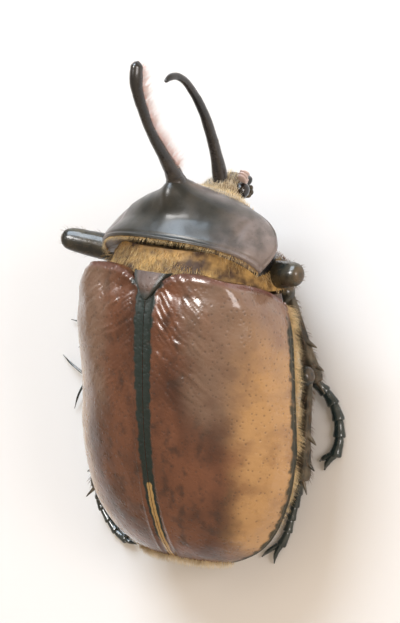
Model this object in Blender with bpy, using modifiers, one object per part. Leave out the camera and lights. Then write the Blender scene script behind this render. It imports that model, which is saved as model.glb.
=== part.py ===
"""Golofa beetle, a life-size still model of a horned male.

Metres, +Z up. The head points to -Y, the beetle's left is +X, and the feet stand on z = 0.
Three frames carry the body: the trunk (wing cases, abdomen), the prothorax (pronotum, its horn)
and the legs' own ground frame. In each one x is the beetle's left, y its rear and z its back.
"""
import math

import bmesh
import bpy
from mathutils import Matrix, Vector
from mathutils.bvhtree import BVHTree

MM = 0.001

# Gaps and grain
TOUCH_GAP = 0.32 * MM
WELD_DISTANCE = 0.002 * MM
BODY_SIDES = 28
LEG_SIDES = 8
FLANK_POWER = 0.9
LEAST_SHARE_LEFT = 0.1
FLOOR_BLOCK = 200 * MM

# Where the trunk stands, and how its parts are turned
TRUNK_GROUND_X = -5.5 * MM
TRUNK_GROUND_Y = -4.35 * MM
TRUNK_HEIGHT = 10.8 * MM
TRUNK_PITCH = math.radians(10.0)
PROTHORAX_DROOP = math.radians(38.0)
PROTHORAX_BACK = -1.8 * MM
PROTHORAX_RISE = 3.87 * MM

# Wing cases, from their base at y = 0 to their tip
ELYTRA_LENGTH = 28.3 * MM
ELYTRA_HALF_WIDTH = 12.95 * MM
ELYTRA_HEIGHT = 9.1 * MM
ELYTRON_THICKNESS = 0.7 * MM
ELYTRA_SQUARENESS = 2.0
SHOULDER_SQUARENESS = 2.4
ELYTRA_ROWS = 17
ELYTRA_COLUMNS = 12
SUTURE_GAP = 0.34 * MM
SCUTELLUM_LENGTH = 2.9 * MM
SCUTELLUM_HALF_WIDTH = 2.2 * MM
SCUTELLUM_FORWARD = 1.9 * MM
# How far the front edge of a wing case lies from its base line, in millimetres, from the ridge outward
ELYTRON_FRONT = [(0.0, 0.5), (0.08, -0.85), (0.18, -1.95), (0.34, -2.2),
                 (0.52, -1.7), (0.68, -1.3), (0.84, -0.6), (1.0, 0.6)]

# Trunk under the wing cases
BELLY_DEPTH = 4.5 * MM
BELLY_PROFILE = [(-0.15, 0.75), (0.05, 1.0), (0.35, 1.0), (0.7, 0.8), (0.92, 0.5), (1.0, 0.3)]
BELLY_SQUARENESS = 1.75
MESOTHORAX_LENGTH = 3.6 * MM
MESOTHORAX_WIDTHS = (10.6 * MM, 8.4 * MM)
MESOTHORAX_TOPS = (8.5 * MM, 7.3 * MM)
MESOTHORAX_DEPTHS = (3.6 * MM, 0.6 * MM)
METATHORAX_LENGTH = 9.5 * MM
ABDOMEN_END = 25.6 * MM
PYGIDIUM_END = 27.8 * MM

# Prothorax
PRONOTUM_LENGTH = 8.7 * MM
PRONOTUM_WIDTHS = [(0, 0.94), (0.2, 1.0), (0.45, 0.99), (0.75, 0.78), (1.0, 0.3)]
PRONOTUM_HEIGHTS = [(0, 0.84), (0.3, 0.86), (0.55, 1.0), (0.75, 0.77), (1.0, 0.24)]
PRONOTUM_HALF_WIDTH = 10.0 * MM
PRONOTUM_HEIGHT = 6.4 * MM
PROSTERNUM_DEPTH = 4.8 * MM
PRONOTUM_CORNER_SETBACK = 0.85 * MM
THORACIC_HORN_ROOT = 5.9 * MM
THORACIC_HORN_FOOT = 6.3 * MM
THORACIC_HORN_LEAN = 5.2 * MM
THORACIC_HORN_RISE = 13.5 * MM
THORACIC_HORN_RADIUS = 0.62 * MM
THORACIC_HORN_SHARES = [(-0.08, -0.12), (0.03, 0.0), (0.10, 0.07), (0.14, 0.16), (0.19, 0.31), (0.29, 0.55),
                        (0.41, 0.69), (0.54, 0.82), (0.72, 0.92), (0.89, 0.97), (1.0, 0.995)]
THORACIC_HORN_THICKNESS = [3.0, 2.3, 1.55, 1.2, 0.92, 0.78, 0.84, 0.92, 1.07, 1.0, 0.5]

# Head
HEAD_FORWARD = 10.2 * MM
HEAD_HALF_LENGTH = 2.6 * MM
HEAD_HALF_WIDTH = 2.3 * MM
HEAD_HALF_HEIGHT = 1.8 * MM
HEAD_DROP = 0.6 * MM
HEAD_BOW = 1.3 * MM
HEAD_HORN_ROOT = 11.1 * MM
HEAD_HORN_FOOT = 0.9 * MM
HEAD_HORN_LEAN = 3.3 * MM
HEAD_HORN_RISE = 13.9 * MM
HEAD_HORN_RADIUS = 0.62 * MM
HEAD_HORN_SHARES = [(-0.3, -0.09), (0.0, 0.0), (0.39, 0.165), (0.68, 0.33), (0.88, 0.48), (1.0, 0.69),
                    (0.95, 0.85), (0.69, 0.957), (0.36, 1.0)]
HEAD_HORN_THICKNESS = [1.35, 1.25, 0.98, 0.9, 0.8, 0.68, 0.62, 0.56, 0.33]
EYE_RADIUS = 0.8 * MM
CLUB_LEAF_RADII = (0.5 * MM, 0.24 * MM, 0.75 * MM)

# Legs, as shares of their thickness along each part
LEG_THICKNESS = 1.12 * MM
COXA_RADII = (2.0 * MM, 1.25 * MM, 1.3 * MM)
FEMUR_RADII = [(0, 0.7), (0.25, 1.15), (0.6, 1.1), (0.88, 0.95), (1, 0.45)]
TIBIA_RADII = [(0, 0.45), (0.2, 0.58), (0.6, 0.68), (0.92, 0.92), (1, 0.6)]
TARSUS_JOINTS = 5
TARSUS_WAIST = 0.3 * MM
TARSUS_BULGE = 0.52 * MM
TARSUS_TIP = 0.42 * MM
TOOTH_LENGTH = 1.7 * MM
TOOTH_RADIUS = 0.36 * MM
SPUR_LENGTH = 1.9 * MM
SPUR_RADIUS = 0.3 * MM
SPIKE_TIP_RADIUS = 0.06 * MM
CLAW_RADII = [0.3 * MM, 0.27 * MM, 0.12 * MM]

PARTS = "golofa_beetle"

CHITIN_BLACK = ((0.012, 0.012, 0.014), 0.22)
CHITIN_MAHOGANY = ((0.125, 0.028, 0.014), 0.26)
CHITIN_BELLY = ((0.05, 0.02, 0.01), 0.4)
HAIRY_YELLOW = ((0.42, 0.24, 0.06), 0.8)
EYE_BLACK = ((0.01, 0.008, 0.008), 0.1)
CLUB_RED = ((0.2, 0.06, 0.03), 0.45)


def clear_scene():
    for item in list(bpy.data.objects):
        bpy.data.objects.remove(item, do_unlink=True)


def make_material(name, finish):
    colour, roughness = finish
    material = bpy.data.materials.new(name)
    material.use_nodes = True
    shader = material.node_tree.nodes["Principled BSDF"]
    shader.inputs["Base Color"].default_value = (*colour, 1.0)
    shader.inputs["Roughness"].default_value = roughness
    shader.inputs["Metallic"].default_value = 0.0
    return material


def make_empty(name, location, pitch, parent=None):
    frame = bpy.data.objects.new(name, None)
    frame.location = location
    frame.rotation_euler = (pitch, 0.0, 0.0)
    frame.parent = parent
    bpy.context.scene.collection.objects.link(frame)
    bpy.context.view_layer.update()
    return frame


def add_part(name, mesh, finish, frame=None):
    """Links a mesh as a named part, in the frame that carries it."""
    part = bpy.data.objects.new(name, mesh)
    mesh.materials.clear()
    mesh.materials.append(make_material(name + "_finish", finish))
    part.parent = frame
    bpy.data.collections[PARTS].objects.link(part)
    bpy.context.view_layer.update()
    return part


def mesh_from(work, name):
    """Turns a bmesh into a mesh whose faces point out."""
    bmesh.ops.remove_doubles(work, verts=work.verts, dist=WELD_DISTANCE)
    bmesh.ops.recalc_face_normals(work, faces=work.faces)
    mesh = bpy.data.meshes.new(name)
    work.to_mesh(mesh)
    work.free()
    mesh.shade_smooth()
    mesh.set_sharp_from_angle(angle=math.radians(50.0))
    return mesh


def largest_body(mesh):
    """Keeps only the closed surface with the most room inside."""
    work = bmesh.new()
    work.from_mesh(mesh)
    left = set(work.verts)
    islands = []
    while left:
        stack = [left.pop()]
        island = set(stack)
        while stack:
            for edge in stack.pop().link_edges:
                for vert in edge.verts:
                    if vert in left:
                        left.remove(vert)
                        island.add(vert)
                        stack.append(vert)
        islands.append(island)
    keep = max(islands, key=island_size)
    loose = [vert for vert in work.verts if vert not in keep]
    bmesh.ops.delete(work, geom=loose, context="VERTS")
    work.to_mesh(mesh)
    work.free()
    return mesh


def island_size(island):
    spans = [max(v.co[k] for v in island) - min(v.co[k] for v in island) for k in range(3)]
    return spans[0] * spans[1] * spans[2]


def evaluated(part):
    bpy.context.view_layer.update()
    depsgraph = bpy.context.evaluated_depsgraph_get()
    return bpy.data.meshes.new_from_object(part.evaluated_get(depsgraph), depsgraph=depsgraph)


def volume_of(mesh):
    work = bmesh.new()
    work.from_mesh(mesh)
    volume = work.calc_volume(signed=True)
    work.free()
    return volume


def surface_tree(part):
    """A part's triangles in the world, for finding where two parts cross."""
    work = bmesh.new()
    work.from_mesh(part.data)
    work.transform(part.matrix_world)
    bmesh.ops.triangulate(work, faces=work.faces)
    tree = BVHTree.FromBMesh(work)
    work.free()
    return tree


def is_closed(mesh):
    work = bmesh.new()
    work.from_mesh(mesh)
    closed = all(len(edge.link_faces) == 2 for edge in work.edges)
    work.free()
    return closed


def bake(part):
    """Replaces a part's mesh by what its modifiers make of it."""
    mesh = evaluated(part)
    part.modifiers.clear()
    part.data = largest_body(mesh)
    return part


def combine(part, operation, other, least_share=0.0, clear_of=None):
    """Cuts or joins with the EXACT solver, or with MANIFOLD where that one fails."""
    whole = part.data
    for solver in ("EXACT", "MANIFOLD"):
        part.data = whole
        boolean = part.modifiers.new("shape", "BOOLEAN")
        boolean.operation = operation
        boolean.solver = solver
        if isinstance(other, bpy.types.Collection):
            boolean.operand_type = "COLLECTION"
            boolean.collection = other
        else:
            boolean.object = other
        mesh = evaluated(part)
        part.modifiers.clear()
        if len(mesh.polygons) == 0 or volume_of(mesh) < least_share * volume_of(whole):
            continue
        part.data = largest_body(mesh)
        if not is_closed(part.data):
            continue
        if clear_of is None or not surface_tree(part).overlap(surface_tree(clear_of)):
            return part
    raise ValueError(part.name + " can't be shaped by " + other.name)


def puffed(part, gap):
    """A copy of a part grown by the gap along its normals, to cut its neighbours clear of it."""
    mesh = evaluated(part)
    work = bmesh.new()
    work.from_mesh(mesh)
    work.normal_update()
    for vert in work.verts:
        vert.co += vert.normal * gap * min(vert.calc_shell_factor(), 1.6)
    work.to_mesh(mesh)
    work.free()
    cutter = bpy.data.objects.new(part.name + "_cutter", mesh)
    cutter.matrix_world = part.matrix_world
    cutter.hide_render = True
    cutter.display_type = "WIRE"
    bpy.data.collections["cutters"].objects.link(cutter)
    return cutter


def cut_clear(part, *neighbours):
    """Cuts a part where it runs into its neighbours, so that they meet face to face."""
    for neighbour in neighbours:
        cutter = puffed(neighbour, TOUCH_GAP)
        combine(part, "DIFFERENCE", cutter, LEAST_SHARE_LEFT, neighbour)
        bpy.data.objects.remove(cutter, do_unlink=True)
    return part


def cut_at_floor(part):
    """Cuts small flats where a foot meets the floor at z = 0."""
    bpy.ops.mesh.primitive_cube_add(size=FLOOR_BLOCK, location=(0, 0, -FLOOR_BLOCK / 2))
    floor = bpy.context.object
    combine(part, "DIFFERENCE", floor, LEAST_SHARE_LEFT)
    bpy.data.objects.remove(floor, do_unlink=True)
    return part


def fuse(part, growths):
    """Joins small closed pieces to the part that they grow from."""
    group = bpy.data.collections.new("growths")
    bpy.context.scene.collection.children.link(group)
    for growth in growths:
        for holder in list(growth.users_collection):
            holder.objects.unlink(growth)
        group.objects.link(growth)
    combine(part, "UNION", group)
    for growth in growths:
        bpy.data.objects.remove(growth, do_unlink=True)
    bpy.data.collections.remove(group)
    return part


def blend_values(stations, s):
    """Smooth value at s through (place, value) stations."""
    places = [place for place, _ in stations]
    values = [value for _, value in stations]
    s = min(max(s, places[0]), places[-1])
    k = max(i for i in range(len(places) - 1) if places[i] <= s)
    span = places[k + 1] - places[k]
    t = (s - places[k]) / span

    def slope(i):
        before, after = max(i - 1, 0), min(i + 1, len(places) - 1)
        return (values[after] - values[before]) / (places[after] - places[before])

    a, b = slope(k) * span, slope(k + 1) * span
    return ((2 * t ** 3 - 3 * t ** 2 + 1) * values[k] + (t ** 3 - 2 * t ** 2 + t) * a
            + (3 * t ** 2 - 2 * t ** 3) * values[k + 1] + (t ** 3 - t ** 2) * b)


def smooth_path(points, steps):
    """Points along a smooth curve through the given ones, with their place from 0 to 1."""
    axes = [[(i, point[k]) for i, point in enumerate(points)] for k in range(3)]
    last = len(points) - 1
    path = []
    for i in range(steps + 1):
        s = last * i / steps
        path.append(Vector([blend_values(axis, s) for axis in axes]))
    return path


def loft(rings, name):
    """A closed skin over rings with the same number of points, capped at both ends."""
    work = bmesh.new()
    rows = [[work.verts.new(point) for point in ring] for ring in rings]
    for row, following in zip(rows, rows[1:]):
        for i in range(len(row)):
            j = (i + 1) % len(row)
            work.faces.new((row[i], row[j], following[j], following[i]))
    for row in (rows[0], rows[-1]):
        middle = work.verts.new(sum((vert.co for vert in row), Vector()) / len(row))
        for i in range(len(row)):
            work.faces.new((row[i], row[(i + 1) % len(row)], middle))
    return mesh_from(work, name)


def swept(name, points, stations, flatness=1.0, up=Vector((0, 0, 1)), sides=LEG_SIDES, steps=8):
    """A limb along a smooth path. stations give its radius, flatness its depth over its width."""
    path = smooth_path(points, steps)
    rings = []
    for i, centre in enumerate(path):
        tangent = (path[min(i + 1, steps)] - path[max(i - 1, 0)]).normalized()
        side = tangent.cross(up).normalized()
        rise = side.cross(tangent).normalized()
        radius = blend_values(stations, i / steps)
        rings.append([centre + side * radius * math.cos(turn) + rise * radius * flatness * math.sin(turn)
                      for turn in (2 * math.pi * (k + 0.5) / sides for k in range(sides))])
    return loft(rings, name)


def rod(name, points, radii, resolution=3, ring=2):
    """A round rod that tapers, as a curve with a radius at each point, made into a mesh."""
    curve = bpy.data.curves.new(name, "CURVE")
    curve.dimensions = "3D"
    curve.bevel_depth = 1.0 * MM
    curve.bevel_resolution = ring
    curve.use_fill_caps = True
    curve.resolution_u = resolution
    spline = curve.splines.new("BEZIER")
    spline.bezier_points.add(len(points) - 1)
    for knot, point, radius in zip(spline.bezier_points, points, radii):
        knot.co = point
        knot.radius = radius / MM
        knot.handle_left_type = "AUTO"
        knot.handle_right_type = "AUTO"
    holder = bpy.data.objects.new(name, curve)
    bpy.context.scene.collection.objects.link(holder)
    mesh = evaluated(holder)
    bpy.data.objects.remove(holder, do_unlink=True)
    work = bmesh.new()
    work.from_mesh(mesh)
    return mesh_from(work, name)


def ball(name, radii, centre, segments=14, rings=9, tilt=Matrix.Identity(3)):
    """An ellipsoid."""
    work = bmesh.new()
    bmesh.ops.create_uvsphere(work, u_segments=segments, v_segments=rings, radius=1.0)
    for vert in work.verts:
        vert.co = tilt @ Vector([vert.co[k] * radii[k] for k in range(3)]) + Vector(centre)
    return mesh_from(work, name)


def loose_piece(name, mesh, frame=None):
    """A piece that is about to be fused to its part."""
    piece = bpy.data.objects.new(name, mesh)
    piece.parent = frame
    bpy.context.scene.collection.objects.link(piece)
    bpy.context.view_layer.update()
    return piece


def signed_power(value, power):
    return math.copysign(abs(value) ** power, value)


def elytra_half_width(y, inset=0.0):
    """Half the width over both wing cases at a distance behind their base."""
    s = min(max(y / (ELYTRA_LENGTH - inset), 0.0), 1.0)
    shoulder = 1.0 - 0.05 * max(0.0, 1.0 - s / 0.2) ** 2 - 0.11 * max(0.0, 1.0 - s / 0.55)
    tail = (1.0 - (max(0.0, s - 0.41) / 0.6) ** 2.75) ** (1 / 3.1)
    return (ELYTRA_HALF_WIDTH - inset) * shoulder * tail


def elytra_top(y, inset=0.0):
    """Height of the wing cases' ridge over their side edge."""
    s = min(max(y / (ELYTRA_LENGTH - inset), 0.0), 1.0)
    base = 1.0 - 0.06 * max(0.0, 1.0 - s / 0.12) ** 2
    tail = (1.0 - (max(0.0, s - 0.05) / 0.985) ** 2.7) ** (1 / 1.9)
    return (ELYTRA_HEIGHT - inset) * base * tail


def elytra_edge(y):
    """Height of the side edge, which sinks a little toward the tip."""
    s = min(max(y / ELYTRA_LENGTH, 0.0), 1.0)
    return 0.6 * MM - 1.0 * MM * s


def elytra_squareness(y):
    """How boxy a cross-section is: square at the shoulders, round behind them."""
    s = min(max(y / ELYTRA_LENGTH, 0.0), 1.0)
    return ELYTRA_SQUARENESS + SHOULDER_SQUARENESS * max(0.0, 1.0 - 2.0 * s) ** 2


def box_round(turn, squareness):
    """A point of the unit curve between a circle (squareness 2) and a square, at an angle."""
    across, up = math.cos(turn), math.sin(turn)
    reach = (abs(across) ** squareness + abs(up) ** squareness) ** (-1.0 / squareness)
    return across * reach, up * reach


def dome_point(y, angle, inset=0.0, middle=0.0):
    """A point of the wing cases' surface. angle runs from the ridge to the left edge."""
    up, across = box_round(angle, elytra_squareness(y))
    x = middle + (elytra_half_width(y, inset) - middle) * across
    return Vector((x, y, elytra_edge(y) + elytra_top(y, inset) * up))


def elytron_front(t):
    """How far the front edge of a wing case lies from its base line, from the ridge outward."""
    return MM * blend_values(ELYTRON_FRONT, t)


def build_elytron(side, frame, scutellum):
    """One wing case: a domed shell, open below."""
    work = bmesh.new()
    rows = []
    for i in range(ELYTRA_ROWS + 1):
        s = math.sin(0.5 * math.pi * i / ELYTRA_ROWS) ** 0.92
        row = []
        for j in range(ELYTRA_COLUMNS + 1):
            t = j / ELYTRA_COLUMNS
            front = elytron_front(t) * (1.0 - s) ** 3
            y = front + s * ELYTRA_LENGTH
            point = dome_point(max(y, 0.0), t * math.pi / 2, middle=SUTURE_GAP / 2)
            row.append(work.verts.new((side * point.x, y, point.z)))
        rows.append(row)
    for row, following in zip(rows, rows[1:]):
        for j in range(ELYTRA_COLUMNS):
            quad = (row[j], row[j + 1], following[j + 1], following[j])
            work.faces.new(quad if side > 0 else tuple(reversed(quad)))
    bmesh.ops.triangulate(work, faces=work.faces)
    mesh = bpy.data.meshes.new("elytron")
    work.to_mesh(mesh)
    work.free()
    mesh.shade_smooth()
    name = "elytron_left" if side > 0 else "elytron_right"
    part = add_part(name, mesh, CHITIN_MAHOGANY, frame)
    shell = part.modifiers.new("thickness", "SOLIDIFY")
    shell.thickness = ELYTRON_THICKNESS
    shell.offset = -1.0
    bake(part)
    return cut_clear(part, scutellum)


def build_scutellum(frame):
    """The small triangular plate between the wing cases' roots."""
    work = bmesh.new()
    lift = 0.12 * MM
    top = ELYTRA_HEIGHT + elytra_edge(0.0)
    outline = []
    for k in range(7):
        x = SCUTELLUM_HALF_WIDTH * (1 - 2 * k / 6)
        outline.append(Vector((x, -SCUTELLUM_FORWARD, top - 0.8 * MM)))
    tip = Vector((0, SCUTELLUM_LENGTH - SCUTELLUM_FORWARD, top - 0.15 * MM + lift))
    side_left = Vector((1.1 * MM, -0.2 * MM, top - 0.35 * MM + lift))
    side_right = Vector((-1.1 * MM, -0.2 * MM, top - 0.35 * MM + lift))
    outline += [side_right, tip, side_left]
    ring = [work.verts.new(point) for point in outline]
    middle = work.verts.new((0, -0.5 * MM, top - 0.3 * MM + lift))
    for k in range(len(ring)):
        work.faces.new((ring[k], ring[(k + 1) % len(ring)], middle))
    bmesh.ops.recalc_face_normals(work, faces=work.faces)
    below = bmesh.ops.extrude_face_region(work, geom=work.faces[:])
    for item in below["geom"]:
        if isinstance(item, bmesh.types.BMVert):
            item.co.z -= 0.75 * MM
    return add_part("scutellum", mesh_from(work, "scutellum"), CHITIN_BLACK, frame)


def belly_depth(y):
    """Depth of the underside below the wing cases' edge."""
    s = y / ELYTRA_LENGTH
    return BELLY_DEPTH * blend_values(BELLY_PROFILE, s)


def trunk_ring(y, inset, waist=1.0):
    """A section of the trunk: the wing cases' dome above, the belly below."""
    ring = []
    width = elytra_half_width(max(y, 0.0), inset) * waist
    height = elytra_top(max(y, 0.0), inset) * waist
    edge = elytra_edge(max(y, 0.0))
    for k in range(BODY_SIDES):
        turn = 2 * math.pi * k / BODY_SIDES
        above = turn < math.pi
        across, up = box_round(turn, elytra_squareness(y) if above else BELLY_SQUARENESS)
        ring.append(Vector((width * across, y, edge + (height if above else belly_depth(y)) * up)))
    return ring


def build_trunk(frame):
    """Metathorax, abdomen and pygidium, under the wing cases."""
    inset = ELYTRON_THICKNESS + TOUCH_GAP
    parts = []
    spans = [("metathorax", -0.2 * MM, METATHORAX_LENGTH, 5),
             ("abdomen", METATHORAX_LENGTH + TOUCH_GAP, ABDOMEN_END, 9)]
    for name, start, end, steps in spans:
        rings = [trunk_ring(start + (end - start) * i / steps, inset) for i in range(steps + 1)]
        parts.append(add_part(name, loft(rings, name), CHITIN_BELLY, frame))
    rings = []
    for i in range(6):
        s = i / 5
        y = ABDOMEN_END + TOUCH_GAP + (PYGIDIUM_END - ABDOMEN_END) * s
        rings.append(trunk_ring(y, inset, 1.0 - 0.75 * s ** 3))
    parts.append(add_part("pygidium", loft(rings, "pygidium"), CHITIN_BELLY, frame))
    return parts


def mesothorax_ring(y):
    s = -y / MESOTHORAX_LENGTH
    width, top, depth = (rear + (front - rear) * s
                         for rear, front in (MESOTHORAX_WIDTHS, MESOTHORAX_TOPS, MESOTHORAX_DEPTHS))
    ring = []
    for k in range(BODY_SIDES):
        turn = 2 * math.pi * k / BODY_SIDES
        rise = top if math.sin(turn) > 0 else depth
        across = width * signed_power(math.cos(turn), FLANK_POWER)
        ring.append(Vector((across, y, rise * signed_power(math.sin(turn), FLANK_POWER))))
    return ring


def build_mesothorax(frame, scutellum):
    """The hairy collar that shows between the pronotum and the wing cases."""
    start = -0.2 * MM - TOUCH_GAP
    rings = [mesothorax_ring(start - MESOTHORAX_LENGTH * i / 3) for i in range(4)]
    part = add_part("mesothorax", loft(rings, "mesothorax"), HAIRY_YELLOW, frame)
    return cut_clear(part, scutellum)


def pronotum_width(s):
    """Half width of the pronotum, from its rear edge at 0 to its front edge at 1."""
    return PRONOTUM_HALF_WIDTH * blend_values(PRONOTUM_WIDTHS, s)


def pronotum_height(s):
    """Height of the pronotum's ridge over its side edge."""
    return PRONOTUM_HEIGHT * blend_values(PRONOTUM_HEIGHTS, s)


def pronotum_point(s, turn, lift=0.0):
    """A point of the pronotum's upper surface. turn runs from the left edge over the ridge."""
    steep = 0.92 + 0.55 * math.sin(math.pi * min(s / 1.1, 1.0)) ** 2
    x = (pronotum_width(s) + lift) * signed_power(math.cos(turn), steep)
    z = (pronotum_height(s) + lift) * abs(math.sin(turn)) ** steep
    setback = PRONOTUM_CORNER_SETBACK * (1 - s) ** 2 * (x / PRONOTUM_HALF_WIDTH) ** 2
    return Vector((x, -s * PRONOTUM_LENGTH - setback, z))


def build_prothorax(frame):
    """The pronotum and the prosternum below it, parted along the side edge."""
    steps = 10
    rings = []
    for i in range(steps + 1):
        s = i / steps
        ring = [pronotum_point(s, math.pi * k / 16) for k in range(17)]
        under = [pronotum_point(s, math.pi * k / 16) for k in range(14, 1, -3)]
        rings.append(ring + [Vector((point.x, point.y, 0.0)) for point in under])
    pronotum = add_part("pronotum", loft(rings, "pronotum"), CHITIN_BLACK, frame)
    rings = []
    for i in range(steps + 1):
        s = i / steps
        ring = []
        for k in range(13):
            turn = math.pi * k / 12
            width = pronotum_width(s) - 0.5 * MM
            x = width * signed_power(math.cos(turn), FLANK_POWER)
            depth = PROSTERNUM_DEPTH * (1.0 - 0.25 * s) * math.sin(turn) ** FLANK_POWER
            setback = PRONOTUM_CORNER_SETBACK * (1 - s) ** 2 * (x / PRONOTUM_HALF_WIDTH) ** 2
            ring.append(Vector((x, -s * PRONOTUM_LENGTH - setback, -TOUCH_GAP - depth)))
        rings.append(ring)
    prosternum = add_part("prosternum", loft(rings, "prosternum"), CHITIN_BLACK, frame)
    return pronotum, prosternum


def build_thoracic_horn(frame, pronotum):
    """The tall horn of the pronotum, with a blunt, slightly clubbed tip."""
    points = [(0, -THORACIC_HORN_ROOT - THORACIC_HORN_LEAN * a, THORACIC_HORN_FOOT + THORACIC_HORN_RISE * b)
              for a, b in THORACIC_HORN_SHARES]
    radii = [THORACIC_HORN_RADIUS * share for share in THORACIC_HORN_THICKNESS]
    mesh = rod("thoracic_horn", points, radii, resolution=4, ring=3)
    return cut_clear(add_part("thoracic_horn", mesh, CHITIN_BLACK, frame), pronotum)


def build_head(frame, neighbours):
    """The small head below the front of the pronotum."""
    steps = 8
    rings = []
    for i in range(steps + 1):
        s = i / steps
        y = -HEAD_FORWARD + HEAD_HALF_LENGTH * (1 - 2 * s)
        width = HEAD_HALF_WIDTH * blend_values([(0, 0.86), (0.3, 1.0), (0.6, 0.86), (0.85, 0.62), (1, 0.45)], s)
        height = HEAD_HALF_HEIGHT * blend_values([(0, 0.9), (0.4, 1.0), (0.8, 0.7), (1, 0.35)], s)
        middle = -HEAD_DROP - HEAD_BOW * s ** 1.5
        ring = []
        for k in range(20):
            turn = 2 * math.pi * k / 20
            ring.append(Vector((width * math.cos(turn), y, middle + height * math.sin(turn))))
        rings.append(ring)
    head = add_part("head", loft(rings, "head"), CHITIN_BLACK, frame)
    eyes = []
    for side, name in ((1, "eye_left"), (-1, "eye_right")):
        centre = (side * (HEAD_HALF_WIDTH - 0.4 * MM), -HEAD_FORWARD - 0.5 * MM, -HEAD_DROP - 0.6 * MM)
        mesh = ball(name, [EYE_RADIUS, EYE_RADIUS * 1.1, EYE_RADIUS], centre, 12, 8)
        eyes.append(cut_clear(add_part(name, mesh, EYE_BLACK, frame), *neighbours))
    cut_clear(head, *neighbours, *eyes)
    return head, eyes


def build_head_horn(frame, head):
    """The long horn of the head, which curves back over itself at its tip."""
    points = [(0, -HEAD_HORN_ROOT - HEAD_HORN_LEAN * a, HEAD_HORN_FOOT + HEAD_HORN_RISE * b)
              for a, b in HEAD_HORN_SHARES]
    radii = [HEAD_HORN_RADIUS * share for share in HEAD_HORN_THICKNESS]
    mesh = rod("head_horn", points, radii, resolution=4, ring=3)
    return cut_clear(add_part("head_horn", mesh, CHITIN_BLACK, frame), head)


def build_mouth(frame, head, eyes):
    """Feelers with their three-leaved clubs, the right one raised, then jaws and palps."""
    for side, tag, eye in ((1, "left", eyes[0]), (-1, "right", eyes[1])):
        root = Vector((side * 1.5 * MM, -HEAD_FORWARD - 0.9 * MM, -HEAD_DROP - 0.4 * MM))
        raised = 1.0 if side < 0 else -1.0
        bend = root + Vector((side * 0.8 * MM, -0.5 * MM, raised * 0.3 * MM))
        tip = bend + Vector((-side * 0.1 * MM, 0.0, raised * 0.6 * MM))
        stalk = rod("antenna", [root, (root + bend) / 2, bend, tip], [0.3 * MM, 0.27 * MM, 0.26 * MM, 0.3 * MM])
        antenna = add_part("antenna_" + tag, stalk, CLUB_RED, frame)
        leaves = []
        for k in range(3):
            centre = tip + Vector((side * 0.15 * MM, (k - 1) * 0.36 * MM, raised * 0.25 * MM))
            leaf = ball("leaf", CLUB_LEAF_RADII, centre, 8, 6)
            leaves.append(loose_piece("leaf", leaf, frame))
        fuse(antenna, leaves)
        cut_clear(antenna, head, eye)
        jaw_root = Vector((side * 0.9 * MM, -HEAD_FORWARD - 1.7 * MM, -HEAD_DROP - 1.4 * MM))
        jaw = rod("mandible", [jaw_root, jaw_root + Vector((side * 0.3 * MM, -0.7 * MM, -0.3 * MM)),
                               jaw_root + Vector((-side * 0.1 * MM, -1.3 * MM, -0.5 * MM))],
                  [0.6 * MM, 0.5 * MM, 0.25 * MM], resolution=2)
        cut_clear(add_part("mandible_" + tag, jaw, CHITIN_BLACK, frame), head)
        palp_root = Vector((side * 1.1 * MM, -HEAD_FORWARD - 0.4 * MM, -HEAD_DROP - 1.8 * MM))
        palp = rod("palp", [palp_root, palp_root + Vector((side * 0.5 * MM, -0.9 * MM, -0.7 * MM)),
                            palp_root + Vector((side * 0.1 * MM, -1.9 * MM, -0.6 * MM))],
                   [0.28 * MM, 0.28 * MM, 0.25 * MM], resolution=2)
        cut_clear(add_part("palp_" + tag, palp, CLUB_RED, frame), head)


class Leg:
    """Where one leg's joints stand, in millimetres from the ground below the trunk's origin."""

    def __init__(self, name, coxa, knee, ankle, foot, claws, size):
        self.name = name
        self.coxa = Vector(coxa) * MM
        self.knee = Vector(knee) * MM
        self.ankle = Vector(ankle) * MM
        self.foot = [Vector(point) * MM for point in foot]
        self.claws = [Vector(point) * MM for point in claws]
        self.size = size


LEGS = [
    Leg("front_left", (4.6, -1.6, 9.3), (15.9, -2.6, 13.5), (11.0, -0.8, 2.0),
        [(13.6, 2.0, 0.5), (17.0, 4.6, 0.35), (19.9, 6.4, 0.35)],
        [(23.7, 6.0, 0.3), (22.1, 8.9, 0.3)], 1.08),
    Leg("front_right", (-4.6, -1.6, 9.3), (-12.5, -2.2, 12.7), (-2.2, -3.4, 2.1),
        [(-2.5, -1.0, 0.55), (-3.4, 1.7, 0.35), (-4.5, 4.3, 0.35)],
        [(-5.3, 6.1, 0.3), (-4.1, 6.4, 0.3)], 1.08),
    Leg("mid_left", (3.9, 4.0, 5.0), (10.6, -1.0, 6.6), (12.9, 7.2, 1.9),
        [(15.1, 9.0, 0.5), (17.9, 10.8, 0.35), (20.5, 12.1, 0.35)],
        [(24.1, 10.0, 0.3), (21.4, 15.6, 0.3)], 1.0),
    Leg("mid_right", (-3.9, 4.0, 5.0), (-7.9, -0.8, 6.9), (-9.8, 8.2, 2.0),
        [(-11.0, 9.5, 0.8), (-12.2, 11.4, 0.45), (-12.7, 13.7, 0.35), (-12.5, 15.5, 0.35)],
        [(-11.5, 17.0, 0.3), (-10.8, 16.2, 0.3)], 1.0),
    Leg("hind_left", (3.9, 10.2, 3.9), (13.8, 12.2, 5.2), (15.3, 23.4, 2.0),
        [(15.7, 25.0, 0.8), (14.5, 26.6, 0.5), (13.1, 27.9, 0.35), (11.7, 28.5, 0.35)],
        [(10.4, 28.7, 0.3), (10.7, 27.3, 0.3)], 1.0),
    Leg("hind_right", (-3.9, 10.2, 3.9), (-10.9, 7.6, 5.2), (-9.9, 18.3, 1.9),
        [(-8.9, 20.4, 0.6), (-8.5, 22.4, 0.4), (-8.2, 24.2, 0.35), (-7.7, 25.6, 0.35)],
        [(-5.6, 27.1, 0.3), (-7.2, 27.5, 0.3)], 1.0),
]


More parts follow.
